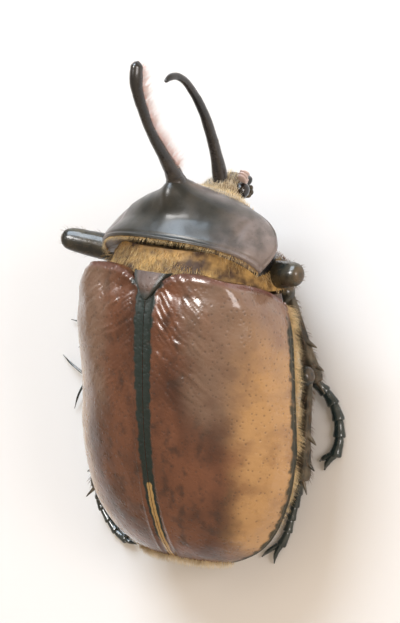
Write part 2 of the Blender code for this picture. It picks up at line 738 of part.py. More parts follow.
def build_leg(leg, ground, bodies):
    """Coxa, femur, tibia and tarsus, each cut clear of what carries it."""
    outward = Vector((1.0 if leg.coxa.x > 0 else -1.0, 0, 0))
    thick = LEG_THICKNESS * leg.size
    to_knee = (leg.knee - leg.coxa).normalized()
    coxa_mesh = ball("coxa", COXA_RADII, leg.coxa - outward * 1.2 * MM, 12, 8)
    coxa = cut_clear(add_part("coxa_" + leg.name, coxa_mesh, CHITIN_BLACK, ground), *bodies)

    thigh = [leg.coxa - to_knee * 0.6 * MM, leg.coxa.lerp(leg.knee, 0.4), leg.coxa.lerp(leg.knee, 0.8),
             leg.knee + to_knee * 0.5 * MM]
    radii = [(place, share * thick) for place, share in FEMUR_RADII]
    femur_mesh = swept("femur", thigh, radii, flatness=0.85, steps=8, sides=10)
    femur = cut_clear(add_part("femur_" + leg.name, femur_mesh, CHITIN_BLACK, ground), coxa, *bodies)

    tibia = build_tibia(leg, ground, outward, thick)
    cut_clear(tibia, femur)
    tarsus = build_tarsus(leg, ground)
    cut_clear(tarsus, tibia)
    cut_at_floor(tarsus)


def build_tibia(leg, ground, outward, thick):
    """The shin, with the teeth of its outer edge and the two spurs at its end."""
    shin = (leg.ankle - leg.knee).normalized()
    bow = outward * 0.1 * MM + Vector((0, 0, 0.2 * MM))
    line = [leg.knee + shin * 0.2 * MM, leg.knee.lerp(leg.ankle, 0.5) + bow, leg.ankle]
    radii = [(place, share * thick) for place, share in TIBIA_RADII]
    mesh = swept("tibia", line, radii, flatness=0.72, steps=7, sides=8)
    tibia = add_part("tibia_" + leg.name, mesh, CHITIN_BLACK, ground)
    out = (outward - shin * shin.dot(outward)).normalized()
    spikes = []
    places = (0.45, 0.7, 0.93) if leg.name.startswith("front") else (0.55, 0.8)
    for place in places:
        root = leg.knee.lerp(leg.ankle, place) + bow * (1 - (2 * place - 1) ** 2)
        aim = (out + shin * 0.5).normalized()
        spikes.append(spike(root, aim, TOOTH_LENGTH * leg.size, TOOTH_RADIUS, ground))
    for turn in (-0.5, 0.7):
        aim = (shin + out * turn + Vector((0, 0, 0.35))).normalized()
        spikes.append(spike(leg.ankle - shin * 0.4 * MM, aim, SPUR_LENGTH, SPUR_RADIUS, ground))
    return fuse(tibia, spikes)


def build_tarsus(leg, ground):
    """The foot: a string of five joints, and two claws."""
    shin = (leg.ankle - leg.knee).normalized()
    beads = [(0.0, TARSUS_WAIST)]
    for k in range(TARSUS_JOINTS):
        beads += [((k + 0.12) / TARSUS_JOINTS, TARSUS_WAIST), ((k + 0.8) / TARSUS_JOINTS, TARSUS_BULGE)]
    beads.append((1.0, TARSUS_TIP))
    mesh = swept("tarsus", [leg.ankle + shin * 0.1 * MM] + leg.foot, beads, steps=15, sides=6)
    tarsus = add_part("tarsus_" + leg.name, mesh, CHITIN_BLACK, ground)
    base = leg.foot[-1] - (leg.foot[-1] - leg.foot[-2]).normalized() * 0.35 * MM
    hooks = []
    for tip in leg.claws:
        arch = base.lerp(tip, 0.55) + Vector((0, 0, 0.35 * MM))
        hook = rod("claw", [base, arch, tip], CLAW_RADII, resolution=3, ring=1)
        hooks.append(loose_piece("claw", hook, ground))
    return fuse(tarsus, hooks)


def spike(root, aim, length, radius, frame):
    """One short spine, its root sunk into what it grows from."""
    work = bmesh.new()
    turn = Vector((0, 0, 1)).rotation_difference(aim).to_matrix().to_4x4()
    place = Matrix.Translation(root + aim * length / 2) @ turn
    bmesh.ops.create_cone(work, cap_ends=True, segments=6, radius1=radius, radius2=SPIKE_TIP_RADIUS,
                          depth=length, matrix=place)
    return loose_piece("spike", mesh_from(work, "spike"), frame)


def main():
    clear_scene()
    for name in (PARTS, "cutters"):
        group = bpy.data.collections.new(name)
        bpy.context.scene.collection.children.link(group)
    ground = make_empty("ground", (TRUNK_GROUND_X, TRUNK_GROUND_Y, 0.0), 0.0)
    trunk = make_empty("trunk", (0.0, 0.0, TRUNK_HEIGHT), -TRUNK_PITCH, ground)
    prothorax = make_empty("prothorax", (0.0, PROTHORAX_BACK, PROTHORAX_RISE), PROTHORAX_DROOP, trunk)

    scutellum = build_scutellum(trunk)
    build_elytron(1, trunk, scutellum)
    build_elytron(-1, trunk, scutellum)
    metathorax, abdomen, pygidium = build_trunk(trunk)
    mesothorax = build_mesothorax(trunk, scutellum)
    pronotum, prosternum = build_prothorax(prothorax)
    cut_clear(mesothorax, pronotum, prosternum)
    cut_clear(metathorax, prosternum)
    build_thoracic_horn(prothorax, pronotum)
    head, eyes = build_head(prothorax, (pronotum, prosternum))
    build_head_horn(prothorax, head)
    build_mouth(prothorax, head, eyes)
    for leg in LEGS:
        front = leg.name.startswith("front")
        carriers = (prosternum, pronotum, mesothorax) if front else (metathorax, abdomen)
        build_leg(leg, ground, carriers)


main()
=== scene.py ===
"""Golofa beetle: the visible surfaces, hairs, light and camera of a life-size museum model.

Metres, +Z up. The head points to -Y and the beetle's left is +X. The body stands in three frames:
the legs' ground frame, the trunk (wing cases, abdomen) and the prothorax (pronotum, horn, head).
In each of them x is the beetle's left, y its rear and z its back, and sizes are in millimetres.
"""

import logging
import math
from dataclasses import dataclass, field
from enum import Enum

import bpy
import numpy as np
from mathutils import Matrix, Vector

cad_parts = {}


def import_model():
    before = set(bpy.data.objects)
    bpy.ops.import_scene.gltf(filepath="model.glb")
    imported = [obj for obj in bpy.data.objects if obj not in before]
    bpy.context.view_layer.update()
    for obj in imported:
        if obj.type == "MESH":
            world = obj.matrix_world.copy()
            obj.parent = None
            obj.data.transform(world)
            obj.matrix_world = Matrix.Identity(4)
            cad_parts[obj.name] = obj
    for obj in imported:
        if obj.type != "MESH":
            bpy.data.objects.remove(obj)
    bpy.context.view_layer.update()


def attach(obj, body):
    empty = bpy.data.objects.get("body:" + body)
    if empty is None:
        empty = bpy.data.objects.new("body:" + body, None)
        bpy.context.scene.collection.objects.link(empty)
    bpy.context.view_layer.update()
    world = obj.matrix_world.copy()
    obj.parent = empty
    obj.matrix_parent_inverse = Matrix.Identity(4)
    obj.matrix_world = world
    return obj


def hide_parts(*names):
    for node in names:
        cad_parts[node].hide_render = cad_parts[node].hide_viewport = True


LOG = logging.getLogger("golofa_beetle")
MM = 0.001
Colour = tuple[float, float, float]
Stations = list[tuple[float, float]]
Point = tuple[float, float, float]
Settings = dict[str, object]
Inputs = dict[str | int, object]

# Large odd numbers that scatter the noise's cells.
CELL_PRIMES = (73856093, 19349663, 83492791)
SEED_PRIME = 2654435761
MIX_PRIME = 1274126177
LOW_BITS = 0xFFFFFF

# How long Blender makes the automatic handles of a curve.
HANDLE_FACTOR = 2.5614

# Where a ball's first ring stands, as an angle from its pole.
POLE_ANGLE = 0.02

# The angle in degrees from which an edge is drawn sharp.
SHARP_ANGLE = 55.0


class Slot(Enum):
    """The record's finishes."""

    BLACK = "black_chitin"
    MAHOGANY = "mahogany_chitin"
    BELLY = "belly_chitin"
    COLLAR = "haired_collar"
    EYE = "eye"
    RED_BROWN = "red_brown_chitin"


class Side(Enum):
    """The beetle's own left and right."""

    LEFT = 1.0
    RIGHT = -1.0


# Numbers on curves and surfaces.

def blend(stations: Stations, s: np.ndarray | float) -> np.ndarray:
    """Smooth values through stations.

    Args:
        stations: Pairs of place and value, in rising places.
        s: Where the values are wanted.

    Returns:
        One value for each place in s.
    """
    places = np.array([place for place, _ in stations], float)
    values = np.array([value for _, value in stations], float)
    count = len(places)
    before = np.maximum(np.arange(count) - 1, 0)
    after = np.minimum(np.arange(count) + 1, count - 1)
    slopes = (values[after] - values[before]) / (places[after] - places[before])
    s = np.clip(np.asarray(s, float), places[0], places[-1])
    k = np.clip(np.searchsorted(places, s, side="right") - 1, 0, count - 2)
    span = places[k + 1] - places[k]
    t = (s - places[k]) / span
    return ((2 * t ** 3 - 3 * t ** 2 + 1) * values[k] + (t ** 3 - 2 * t ** 2 + t) * slopes[k] * span
            + (3 * t ** 2 - 2 * t ** 3) * values[k + 1] + (t ** 3 - t ** 2) * slopes[k + 1] * span)


def smooth_path(points: list[Point], steps: int) -> np.ndarray:
    """Points along a smooth curve.

    Args:
        points: The points that it passes through, evenly spread in its parameter.
        steps: How many spans the result has.

    Returns:
        An array of steps + 1 points.
    """
    places = np.linspace(0, len(points) - 1, steps + 1)
    axes = [blend([(i, point[k]) for i, point in enumerate(points)], places) for k in range(3)]
    return np.stack(axes, axis=1)


def ramp(value: np.ndarray, start: float, end: float) -> np.ndarray:
    """A smooth rise from 0 at start to 1 at end, or a fall where end is the smaller.

    Args:
        value: Where the rise is wanted.
        start: Where it is 0.
        end: Where it is 1.

    Returns:
        Values from 0 to 1.
    """
    t = np.clip((value - start) / (end - start), 0.0, 1.0)
    return t * t * (3 - 2 * t)


def hump(value: np.ndarray, centre: float | np.ndarray, width: float) -> np.ndarray:
    """A rounded rise to 1 where a value is at its centre."""
    return np.exp(-((value - centre) / width) ** 2)


def unit(vector: np.ndarray) -> np.ndarray:
    """A vector brought to length 1."""
    return vector / np.linalg.norm(vector)


def ring_turns(sides: int) -> np.ndarray:
    """Angles round a ring, each half a step on from its corner."""
    return 2 * math.pi * (np.arange(sides) + 0.5) / sides


def lattice(cell: np.ndarray, seed: int) -> np.ndarray:
    """A fixed random number from 0 to 1 for each whole-number cell.

    Args:
        cell: Whole numbers, three to a cell, along the last axis.
        seed: Which field of numbers is meant.

    Returns:
        One number per cell.
    """
    mixed = seed * SEED_PRIME
    for k, prime in enumerate(CELL_PRIMES):
        mixed = (cell[..., k] * prime) ^ mixed
    mixed = (mixed ^ (mixed >> 13)) * MIX_PRIME
    return ((mixed ^ (mixed >> 16)) & LOW_BITS) / float(LOW_BITS)


def noise(points: np.ndarray, scale: Point | float, seed: int = 0) -> np.ndarray:
    """Smooth random numbers from -1 to 1 over space.

    Args:
        points: Points in millimetres.
        scale: Cells to a millimetre, along each axis or along all.
        seed: Which field is meant.

    Returns:
        One number per point.
    """
    place = points * np.asarray(scale, float)
    low = np.floor(place).astype(np.int64)
    t = place - low
    t = t * t * (3 - 2 * t)
    total = np.zeros(points.shape[:-1])
    for corner in range(8):
        step = np.array([corner & 1, (corner >> 1) & 1, (corner >> 2) & 1])
        share = np.prod(np.where(step == 1, t, 1 - t), axis=-1)
        total += share * lattice(low + step, seed)
    return total * 2 - 1


def box_round(turn: np.ndarray, squareness: np.ndarray | float) -> tuple[np.ndarray, np.ndarray]:
    """Points of the unit curve between a circle (squareness 2) and a square.

    Args:
        turn: Angles in radians.
        squareness: The curve's power.

    Returns:
        How far each lies across and up.
    """
    across, up = np.cos(turn), np.sin(turn)
    reach = (np.abs(across) ** squareness + np.abs(up) ** squareness) ** (-1.0 / squareness)
    return across * reach, up * reach


def signed_power(value: np.ndarray, power: float | np.ndarray) -> np.ndarray:
    """A power that keeps the sign of its value."""
    return np.sign(value) * np.abs(value) ** power


def normals_of(grid: np.ndarray) -> np.ndarray:
    """Unit normals over a grid of points.

    Args:
        grid: Points in rows and columns.

    Returns:
        One normal per point.
    """
    down = np.gradient(grid, axis=0)
    across = np.gradient(grid, axis=1)
    normal = np.cross(down, across)
    size = np.linalg.norm(normal, axis=-1, keepdims=True)
    return normal / np.maximum(size, 1e-12)


@dataclass(frozen=True)
class Ridge:
    """A rounded ridge beside an edge, or a groove where its height is negative, in millimetres."""

    height: float
    place: float
    width: float

    def at(self, distance: np.ndarray) -> np.ndarray:
        """Its height at a distance from the edge."""
        return self.height * hump(distance, self.place, self.width)


def relief_of(ridges: tuple[Ridge, ...], distance: np.ndarray) -> np.ndarray:
    """The summed height of ridges and grooves at a distance from their edge."""
    return sum(ridge.at(distance) for ridge in ridges)


class Shape:
    """A mesh in the making, out of grids of points that are each faced outward."""

    def __init__(self) -> None:
        """Starts with no points."""
        self.points: list[np.ndarray] = []
        self.faces: list[list[int]] = []
        self.fields: dict[str, list[tuple[int, np.ndarray]]] = {}
        self.count = 0

    def add_grid(self, grid: np.ndarray, wrap: bool = False, closed: bool = False,
                 inside: Point | None = None, fields: dict[str, np.ndarray] | None = None) -> "Shape":
        """Adds a grid of points as a surface.

        Args:
            grid: Points in rows and columns, in millimetres.
            wrap: Whether the last column joins the first.
            closed: Whether it does, and a fan closes the first and last row.
            inside: A point on the surface's inner side; the mean of its points if left out.
            fields: Values kept on the points, by name.

        Returns:
            The shape itself.
        """
        rows, columns = grid.shape[:2]
        points = grid.reshape(-1, 3)
        index = np.arange(rows * columns).reshape(rows, columns)
        wrap = wrap or closed
        following = np.roll(index, -1, axis=1) if wrap else index[:, 1:]
        near = index if wrap else index[:, :-1]
        quads = np.stack([near[:-1], following[:-1], following[1:], near[1:]], axis=-1).reshape(-1, 4)
        tris = np.zeros((0, 3), int)
        if closed:
            ends = [grid[0].mean(axis=0), grid[-1].mean(axis=0)]
            points = np.vstack([points, ends])
            first = np.stack([np.roll(index[0], -1), index[0], np.full(columns, rows * columns)], axis=-1)
            last = np.stack([index[-1], np.roll(index[-1], -1), np.full(columns, rows * columns + 1)], axis=-1)
            tris = np.vstack([first, last])
        middle = points.mean(axis=0) if inside is None else np.asarray(inside, float)
        a, b, c, d = (points[quads[:, k]] - middle for k in range(4))
        volume = np.einsum("ij,ij->", a, np.cross(b, c)) + np.einsum("ij,ij->", a, np.cross(c, d))
        if volume < 0:
            quads, tris = quads[:, ::-1], tris[:, ::-1]
        for name, values in (fields or {}).items():
            self.fields.setdefault(name, []).append((self.count, np.asarray(values, float).reshape(-1)))
        self.faces += (quads + self.count).tolist() + (tris + self.count).tolist()
        self.points.append(points)
        self.count += len(points)
        return self

    def add_ball(self, radii: Point, centre: Point, tilt: np.ndarray | None = None, rows: int = 24,
                 columns: int = 32) -> "Shape":
        """Adds an ellipsoid.

        Args:
            radii: Its half sizes.
            centre: Its middle.
            tilt: A 3 by 3 turn of it.
            rows: Rings from pole to pole.
            columns: Points to a ring.

        Returns:
            The shape itself.
        """
        polar, turn = np.meshgrid(np.linspace(POLE_ANGLE, math.pi - POLE_ANGLE, rows),
                                  np.linspace(0, 2 * math.pi, columns, endpoint=False), indexing="ij")
        grid = np.stack([np.sin(polar) * np.cos(turn), np.sin(polar) * np.sin(turn), np.cos(polar)], axis=-1)
        grid = grid * np.asarray(radii, float)
        if tilt is not None:
            grid = grid @ np.asarray(tilt).T
        return self.add_grid(grid + np.asarray(centre, float), closed=True)

    def make(self, name: str, place: Matrix) -> bpy.types.Object:
        """Makes the object, with its place in the mesh.

        Args:
            name: The object's name.
            place: The frame that its points stand in.

        Returns:
            The linked object.
        """
        mesh = bpy.data.meshes.new(name)
        points = np.vstack(self.points) * MM
        turn = np.array(place.to_3x3())
        world = points @ turn.T + np.array(place.translation)
        mesh.from_pydata(world.tolist(), [], self.faces)
        for label, parts in self.fields.items():
            values = np.zeros(self.count, np.float32)
            for start, part in parts:
                values[start:start + len(part)] = part
            mesh.attributes.new(label, "FLOAT", "POINT").data.foreach_set("value", values)
        mesh.shade_smooth()
        mesh.set_sharp_from_angle(angle=math.radians(SHARP_ANGLE))
        piece = bpy.data.objects.new(name, mesh)
        bpy.context.scene.collection.objects.link(piece)
        return piece


def tube(path: np.ndarray, radius: np.ndarray, flatness: float = 1.0, up: Point = (0, 0, 1), sides: int = 28,
         profile: np.ndarray | None = None) -> np.ndarray:
    """Rings of points round a path.

    Args:
        path: Points along the middle.
        radius: The half width at each of them.
        flatness: Depth over width.
        up: Which way the depth points.
        sides: Points to a ring.
        profile: Factors on the radius round the ring, or one row of them per ring.

    Returns:
        The rings as a grid.
    """
    tangent = np.gradient(path, axis=0)
    tangent /= np.linalg.norm(tangent, axis=1, keepdims=True)
    side = np.cross(tangent, np.asarray(up, float))
    side /= np.linalg.norm(side, axis=1, keepdims=True)
    rise = np.cross(side, tangent)
    turn = ring_turns(sides)
    factor = np.ones((1, sides)) if profile is None else np.atleast_2d(profile)
    reach = radius[:, None] * factor
    return (path[:, None] + side[:, None] * (reach * np.cos(turn))[..., None]
            + rise[:, None] * (reach * flatness * np.sin(turn))[..., None])


def bezier_path(points: list[Point], radii: list[float], resolution: int) -> tuple[np.ndarray, np.ndarray]:
    """A curve with automatic handles through points, as Blender draws it.

    Args:
        points: The knots.
        radii: The radius at each knot.
        resolution: Spans between two knots.

    Returns:
        The points along it and the radius at each.
    """
    knots = np.asarray(points, float)
    count = len(knots)
    handles = []
    for i in range(count):
        before = knots[i - 1] if i else 2 * knots[0] - knots[1]
        after = knots[i + 1] if i < count - 1 else 2 * knots[-1] - knots[-2]
        low, high = knots[i] - before, after - knots[i]
        low_size, high_size = np.linalg.norm(low), np.linalg.norm(high)
        aim = low / low_size + high / high_size
        size = np.linalg.norm(aim) * HANDLE_FACTOR
        handles.append((knots[i] - aim * low_size / size, knots[i] + aim * high_size / size))
    path, widths = [], []
    for i in range(count - 1):
        for step in range(resolution + (i == count - 2)):
            t = step / resolution
            a, b, c, d = knots[i], handles[i][1], handles[i + 1][0], knots[i + 1]
            path.append((1 - t) ** 3 * a + 3 * t * (1 - t) ** 2 * b + 3 * t * t * (1 - t) * c + t ** 3 * d)
            ease = t * t * (3 - 2 * t)
            widths.append(radii[i] * (1 - ease) + radii[i + 1] * ease)
    return np.array(path), np.array(widths)


def roughened(rings: np.ndarray, path: np.ndarray, depth: float, scale: float, seed: int) -> np.ndarray:
    """Rings with a soft unevenness.

    Args:
        rings: Rings of points round a path.
        path: The points along their middle.
        depth: The unevenness as a share of the radius.
        scale: Its cells to a millimetre.
        seed: Which field of noise is meant.

    Returns:
        The uneven rings.
    """
    return rings + (depth * noise(rings, scale, seed))[..., None] * (rings - path[:, None])


def rounded_end(path: np.ndarray, radius: float) -> np.ndarray:
    """Factors on a tube's radius that round its far end off.

    Args:
        path: Points along the tube's middle.
        radius: The rounding's radius.

    Returns:
        One factor per point.
    """
    steps = np.linalg.norm(np.diff(path, axis=0), axis=1)
    left = np.concatenate([np.cumsum(steps[::-1])[::-1], [0.0]])
    short = np.clip(1.0 - left / radius, 0.0, 1.0)
    return np.sqrt(np.maximum(1.0 - short ** 2, 0.02))


# Finishes.

def add_node(tree: bpy.types.NodeTree, kind: str, settings: Settings | None = None,
             inputs: Inputs | None = None) -> bpy.types.Node:
    """Adds a node to a tree.

    Args:
        tree: The tree.
        kind: The node's type.
        settings: Its properties, by name.
        inputs: A value, or a socket to link, by input.

    Returns:
        The node.
    """
    node = tree.nodes.new(kind)
    for key, value in (settings or {}).items():
        setattr(node, key, value)
    for key, value in (inputs or {}).items():
        if isinstance(value, bpy.types.NodeSocket):
            tree.links.new(value, node.inputs[key])
        else:
            node.inputs[key].default_value = value
    return node


class NodeSheet:
    """A material's nodes, laid out as they are added."""

    def __init__(self, name: str) -> None:
        """Makes the material with a Principled shader.

        Args:
            name: The material's name.
        """
        self.material = bpy.data.materials.new(name)
        self.material.use_nodes = True
        self.tree = self.material.node_tree
        self.shader = self.tree.nodes["Principled BSDF"]
        self.coordinates = self.tree.nodes.new("ShaderNodeTexCoord").outputs["Object"]

    def add(self, kind: str, settings: Settings | None = None, inputs: Inputs | None = None) -> bpy.types.Node:
        """Adds a node to the material."""
        return add_node(self.tree, kind, settings, inputs)

    def grain(self, scale: float, detail: float = 3.0,
              stretch: Point = (1.0, 1.0, 1.0)) -> bpy.types.NodeSocket:
        """Noise from 0 to 1 over the object.

        Args:
            scale: Cells to a metre.
            detail: How many finer layers it has.
            stretch: Factors on the scale along each axis.

        Returns:
            The noise socket.
        """
        mapping = self.add("ShaderNodeMapping", {}, {"Vector": self.coordinates, "Scale": stretch})
        inputs = {"Vector": mapping.outputs[0], "Scale": scale, "Detail": detail}
        return self.add("ShaderNodeTexNoise", {}, inputs).outputs["Fac"]

    def pits(self, scale: float, width: float, randomness: float = 1.0) -> bpy.types.NodeSocket:
        """Small round pits: 0 in a pit and 1 between them.

        Args:
            scale: Pits to a metre.
            width: A pit's share of its cell, from 0 to 1.
            randomness: How uneven they lie.

        Returns:
            The height socket.
        """
        cells = self.add("ShaderNodeTexVoronoi", {"feature": "F1"},
                         {"Vector": self.coordinates, "Scale": scale, "Randomness": randomness})
        return self.fit(cells.outputs["Distance"], 0.0, width, 0.0, 1.0)

    def fit(self, value: bpy.types.NodeSocket, low: float, high: float, to_low: float,
            to_high: float) -> bpy.types.NodeSocket:
        """A socket's range mapped smoothly onto another one.

        Args:
            value: The socket.
            low: Where the range starts.
            high: Where it ends.
            to_low: The result at low.
            to_high: The result at high.

        Returns:
            The mapped socket.
        """
        inputs = {"Value": value, "From Min": low, "From Max": high, "To Min": to_low, "To Max": to_high}
        return self.add("ShaderNodeMapRange", {"interpolation_type": "SMOOTHSTEP"}, inputs).outputs["Result"]

    def attribute(self, name: str) -> bpy.types.NodeSocket:
        """The value that the mesh keeps under a name."""
        return self.add("ShaderNodeAttribute", {"attribute_name": name}).outputs["Fac"]

    def mix(self, share: bpy.types.NodeSocket | float, first: bpy.types.NodeSocket | Colour,
            second: bpy.types.NodeSocket | Colour) -> bpy.types.NodeSocket:
        """Two colours mixed.

        Args:
            share: How much of the second.
            first: A colour or socket.
            second: A colour or socket.

        Returns:
            The colour socket.
        """
        node = self.add("ShaderNodeMix", {"data_type": "RGBA"})
        for key, value in (("Factor_Float", share), ("A_Color", first), ("B_Color", second)):
            socket = next(s for s in node.inputs if s.identifier == key)
            if isinstance(value, bpy.types.NodeSocket):
                self.tree.links.new(value, socket)
            else:
                socket.default_value = value if isinstance(value, float) else (*value, 1.0)
        return next(s for s in node.outputs if s.identifier == "Result_Color")

    def math(self, operation: str, first: bpy.types.NodeSocket | float,
             second: bpy.types.NodeSocket | float = 0.0) -> bpy.types.NodeSocket:
        """A sum, product or other operation on two numbers.

        Args:
            operation: Its name in Blender.
            first: A number or socket.
            second: A number or socket.

        Returns:
            The result socket.
        """
        return self.add("ShaderNodeMath", {"operation": operation}, {0: first, 1: second}).outputs[0]

    def bump(self, layers: list[tuple[bpy.types.NodeSocket, float]]) -> None:
        """Layers of relief on the shader's normal.

        Args:
            layers: Each layer's height socket and its depth in millimetres.
        """
        normal = None
        for height, depth in layers:
            inputs = {"Strength": 1.0, "Distance": depth * MM, "Height": height}
            if normal is not None:
                inputs["Normal"] = normal
            normal = self.add("ShaderNodeBump", {}, inputs).outputs["Normal"]
        self.tree.links.new(normal, self.shader.inputs["Normal"])

    def finish(self, colour: bpy.types.NodeSocket, roughness: bpy.types.NodeSocket,
               coat: bpy.types.NodeSocket | float = 0.0,
               coat_roughness: float = 0.1, specular: float = 0.3, sheen: float = 0.0) -> bpy.types.Material:
        """Links the colour and roughness, and sets what is the same all over.

        Args:
            colour: The base colour.
            roughness: The roughness.
            coat: The weight of the glossy coat.
            coat_roughness: Its roughness.
            specular: The specular level.
            sheen: The weight of the sheen.

        Returns:
            The material.
        """
        self.tree.links.new(colour, self.shader.inputs["Base Color"])
        self.tree.links.new(roughness, self.shader.inputs["Roughness"])
        if isinstance(coat, bpy.types.NodeSocket):
            self.tree.links.new(coat, self.shader.inputs["Coat Weight"])
        else:
            self.shader.inputs["Coat Weight"].default_value = coat
        self.shader.inputs["Coat Roughness"].default_value = coat_roughness
        self.shader.inputs["Specular IOR Level"].default_value = specular
        self.shader.inputs["Sheen Weight"].default_value = sheen
        return self.material


@dataclass(frozen=True)
class Chitin:
    """A hard, glossy skin with pits, fine grain, patches of two colours, and rims and places of others."""

    name: str
    dark: Colour
    light: Colour
    roughness: tuple[float, float] = (0.22, 0.4)
    pit_scale: float = 2600.0
    pit_width: float = 0.45
    pit_depth: float = 0.02
    coat: float = 0.5
    edge: Colour = (0.2, 0.12, 0.06)
    coat_roughness: float = 0.16
    # pale: partly a dusty tone and partly painted reflection.
    pale: Colour = (0.15, 0.12, 0.11)
    patch_scale: float = 260.0

    def build(self) -> bpy.types.Material:
        """The material: patches, pale places that are partly painted reflection, pits with matt floors painted
        darker as shade, and rims.
        """
        sheet = NodeSheet(self.name)
        patches = sheet.fit(sheet.grain(self.patch_scale, 4.0), 0.35, 0.68, 0.0, 1.0)
        colour = sheet.mix(patches, self.dark, self.light)
        cloudy = sheet.fit(sheet.grain(520.0, 4.0), 0.3, 0.65, 0.35, 1.0)
        # Pale places: partly a dusty tone, partly painted reflection.
        colour = sheet.mix(sheet.math("MULTIPLY", sheet.attribute("pale"), cloudy), colour, self.pale)
        pits = sheet.pits(self.pit_scale, self.pit_width)
        # Painted shade: the pits' floors are painted darker.
        colour = sheet.mix(sheet.fit(pits, 0.0, 0.6, 0.5, 0.0), colour, (0.006, 0.005, 0.004))
        rim = sheet.math("MULTIPLY", sheet.attribute("rim"), 0.7)
        colour = sheet.mix(rim, colour, self.edge)
        fine = sheet.grain(5200.0, 2.0)
        rough = sheet.fit(sheet.grain(900.0, 3.0), 0.3, 0.7, self.roughness[0], self.roughness[1])
        rough = sheet.math("ADD", rough, sheet.fit(pits, 0.0, 0.7, 0.2, 0.0))
        sheet.bump([(pits, self.pit_depth), (fine, 0.006), (sheet.grain(1400.0, 2.0), 0.02)])
        return sheet.finish(colour, rough, self.coat, self.coat_roughness)


@dataclass(frozen=True)
class WingCaseFinish:
    """The wing cases: mahogany, tan flanks that are partly painted warm reflection, a painted sheen over the
    front outer part, a dark green seam and border, and a red front bead.
    """

    name: str = "mahogany wing case"
    dark: Colour = (0.060, 0.018, 0.008)
    light: Colour = (0.155, 0.056, 0.026)
    deep: Colour = (0.035, 0.013, 0.008)
    tan_and_painted_reflection: Colour = (0.42, 0.24, 0.098)
    painted_sheen: Colour = (0.225, 0.145, 0.102)
    green: Colour = (0.006, 0.019, 0.016)
    yellow: Colour = (0.40, 0.26, 0.10)
    bead: Colour = (0.15, 0.07, 0.055)

    def build(self) -> bpy.types.Material:
        """The material, driven by the distances that the mesh keeps."""
        sheet = NodeSheet(self.name)
        patches = sheet.fit(sheet.grain(190.0, 5.0, (1.0, 0.5, 1.0)), 0.36, 0.66, 0.0, 1.0)
        colour = sheet.mix(patches, self.dark, self.light)
        spots = sheet.fit(sheet.grain(900.0, 4.0, (1.0, 0.7, 1.0)), 0.48, 0.72, 0.0, 0.75)
        colour = sheet.mix(spots, colour, self.deep)
        wander = sheet.fit(sheet.grain(420.0, 4.0), 0.3, 0.7, 0.62, 1.15)
        flank = sheet.fit(sheet.math("MULTIPLY", sheet.attribute("flank"), wander), 0.0, 1.0, 0.0, 1.0)
        # Painted sheen: a paler, duller tone over the front outer part of each case, in place of a soft
        # reflection.
        painted_sheen = sheet.fit(sheet.math("MULTIPLY", sheet.attribute("painted_sheen"), wander), 0.0, 1.0, 0.0, 0.75)
        colour = sheet.mix(painted_sheen, colour, self.painted_sheen)
        # The flanks' tan is partly a paler real colour and partly painted warm reflection.
        colour = sheet.mix(flank, colour, self.tan_and_painted_reflection)
        colour = sheet.mix(sheet.attribute("bead"), colour, self.bead)
        ragged = sheet.fit(sheet.grain(1100.0, 4.0), 0.3, 0.7, -0.3, 0.3)
        seam = sheet.fit(sheet.math("ADD", sheet.attribute("seam"), ragged), 0.25, 0.8, 0.0, 0.96)
        colour = sheet.mix(seam, colour, self.green)
        border = sheet.fit(sheet.math("ADD", sheet.attribute("border"), ragged), 0.25, 0.9, 0.0, 0.9)
        colour = sheet.mix(border, colour, self.green)
        gap = sheet.fit(sheet.math("ADD", sheet.attribute("gap"), ragged), 0.3, 0.7, 0.0, 1.0)
        colour = sheet.mix(gap, colour, self.yellow)
        pits = sheet.pits(1900.0, 0.5)
        # Painted shade: the pits' floors are painted darker.
        colour = sheet.mix(sheet.fit(pits, 0.0, 0.6, 0.45, 0.0), colour, (0.02, 0.009, 0.005))
        rough = sheet.fit(sheet.grain(700.0, 3.0), 0.3, 0.7, 0.24, 0.38)
        rough = sheet.math("ADD", rough, sheet.fit(pits, 0.0, 0.7, 0.15, 0.0))
        leather, fine = sheet.grain(1300.0, 3.0, (1.0, 1.8, 1.0)), sheet.grain(5200.0, 2.0)
        sheet.bump([(pits, 0.03), (leather, 0.045), (fine, 0.006)])
        matt = sheet.math("MAXIMUM", seam, border)
        rough = sheet.math("ADD", rough, sheet.math("MULTIPLY", matt, 0.22))
        return sheet.finish(colour, rough, sheet.math("MULTIPLY", sheet.math("SUBTRACT", 1.0, matt), 0.7), 0.13)


@dataclass(frozen=True)
class HairFinish:
    """Hair that is darker at its root and pales to its tip."""

    name: str
    root: Colour
    tip: Colour
    roughness: float = 0.5

    def build(self) -> bpy.types.Material:
        """The material, with each hair's shade from where it grows."""
        sheet = NodeSheet(self.name)
        colour = sheet.mix(sheet.fit(sheet.attribute("along"), 0.0, 0.9, 0.0, 1.0), self.root, self.tip)
        shade = sheet.fit(sheet.grain(900.0, 2.0), 0.3, 0.7, 0.0, 0.55)
        colour = sheet.mix(shade, colour, tuple(0.55 * part for part in self.root))
        rough = sheet.fit(sheet.grain(2500.0, 2.0), 0.3, 0.7, self.roughness - 0.08, self.roughness + 0.08)
        sheet.bump([(sheet.grain(9000.0, 2.0), 0.004)])
        return sheet.finish(colour, rough, 0.0, 0.1, 0.4, 0.15)


@dataclass(frozen=True)
class EyeFinish:
    """A compound eye: black, glossy, with fine facets."""

    name: str = "compound eye"

    def build(self) -> bpy.types.Material:
        """The material."""
        sheet = NodeSheet(self.name)
        facets = sheet.pits(16000.0, 0.5, 0.25)
        colour = sheet.mix(facets, (0.02, 0.012, 0.01), (0.008, 0.006, 0.006))
        rough = sheet.fit(facets, 0.0, 1.0, 0.22, 0.1)
        sheet.bump([(facets, 0.006)])
        return sheet.finish(colour, rough, 0.7, 0.06)


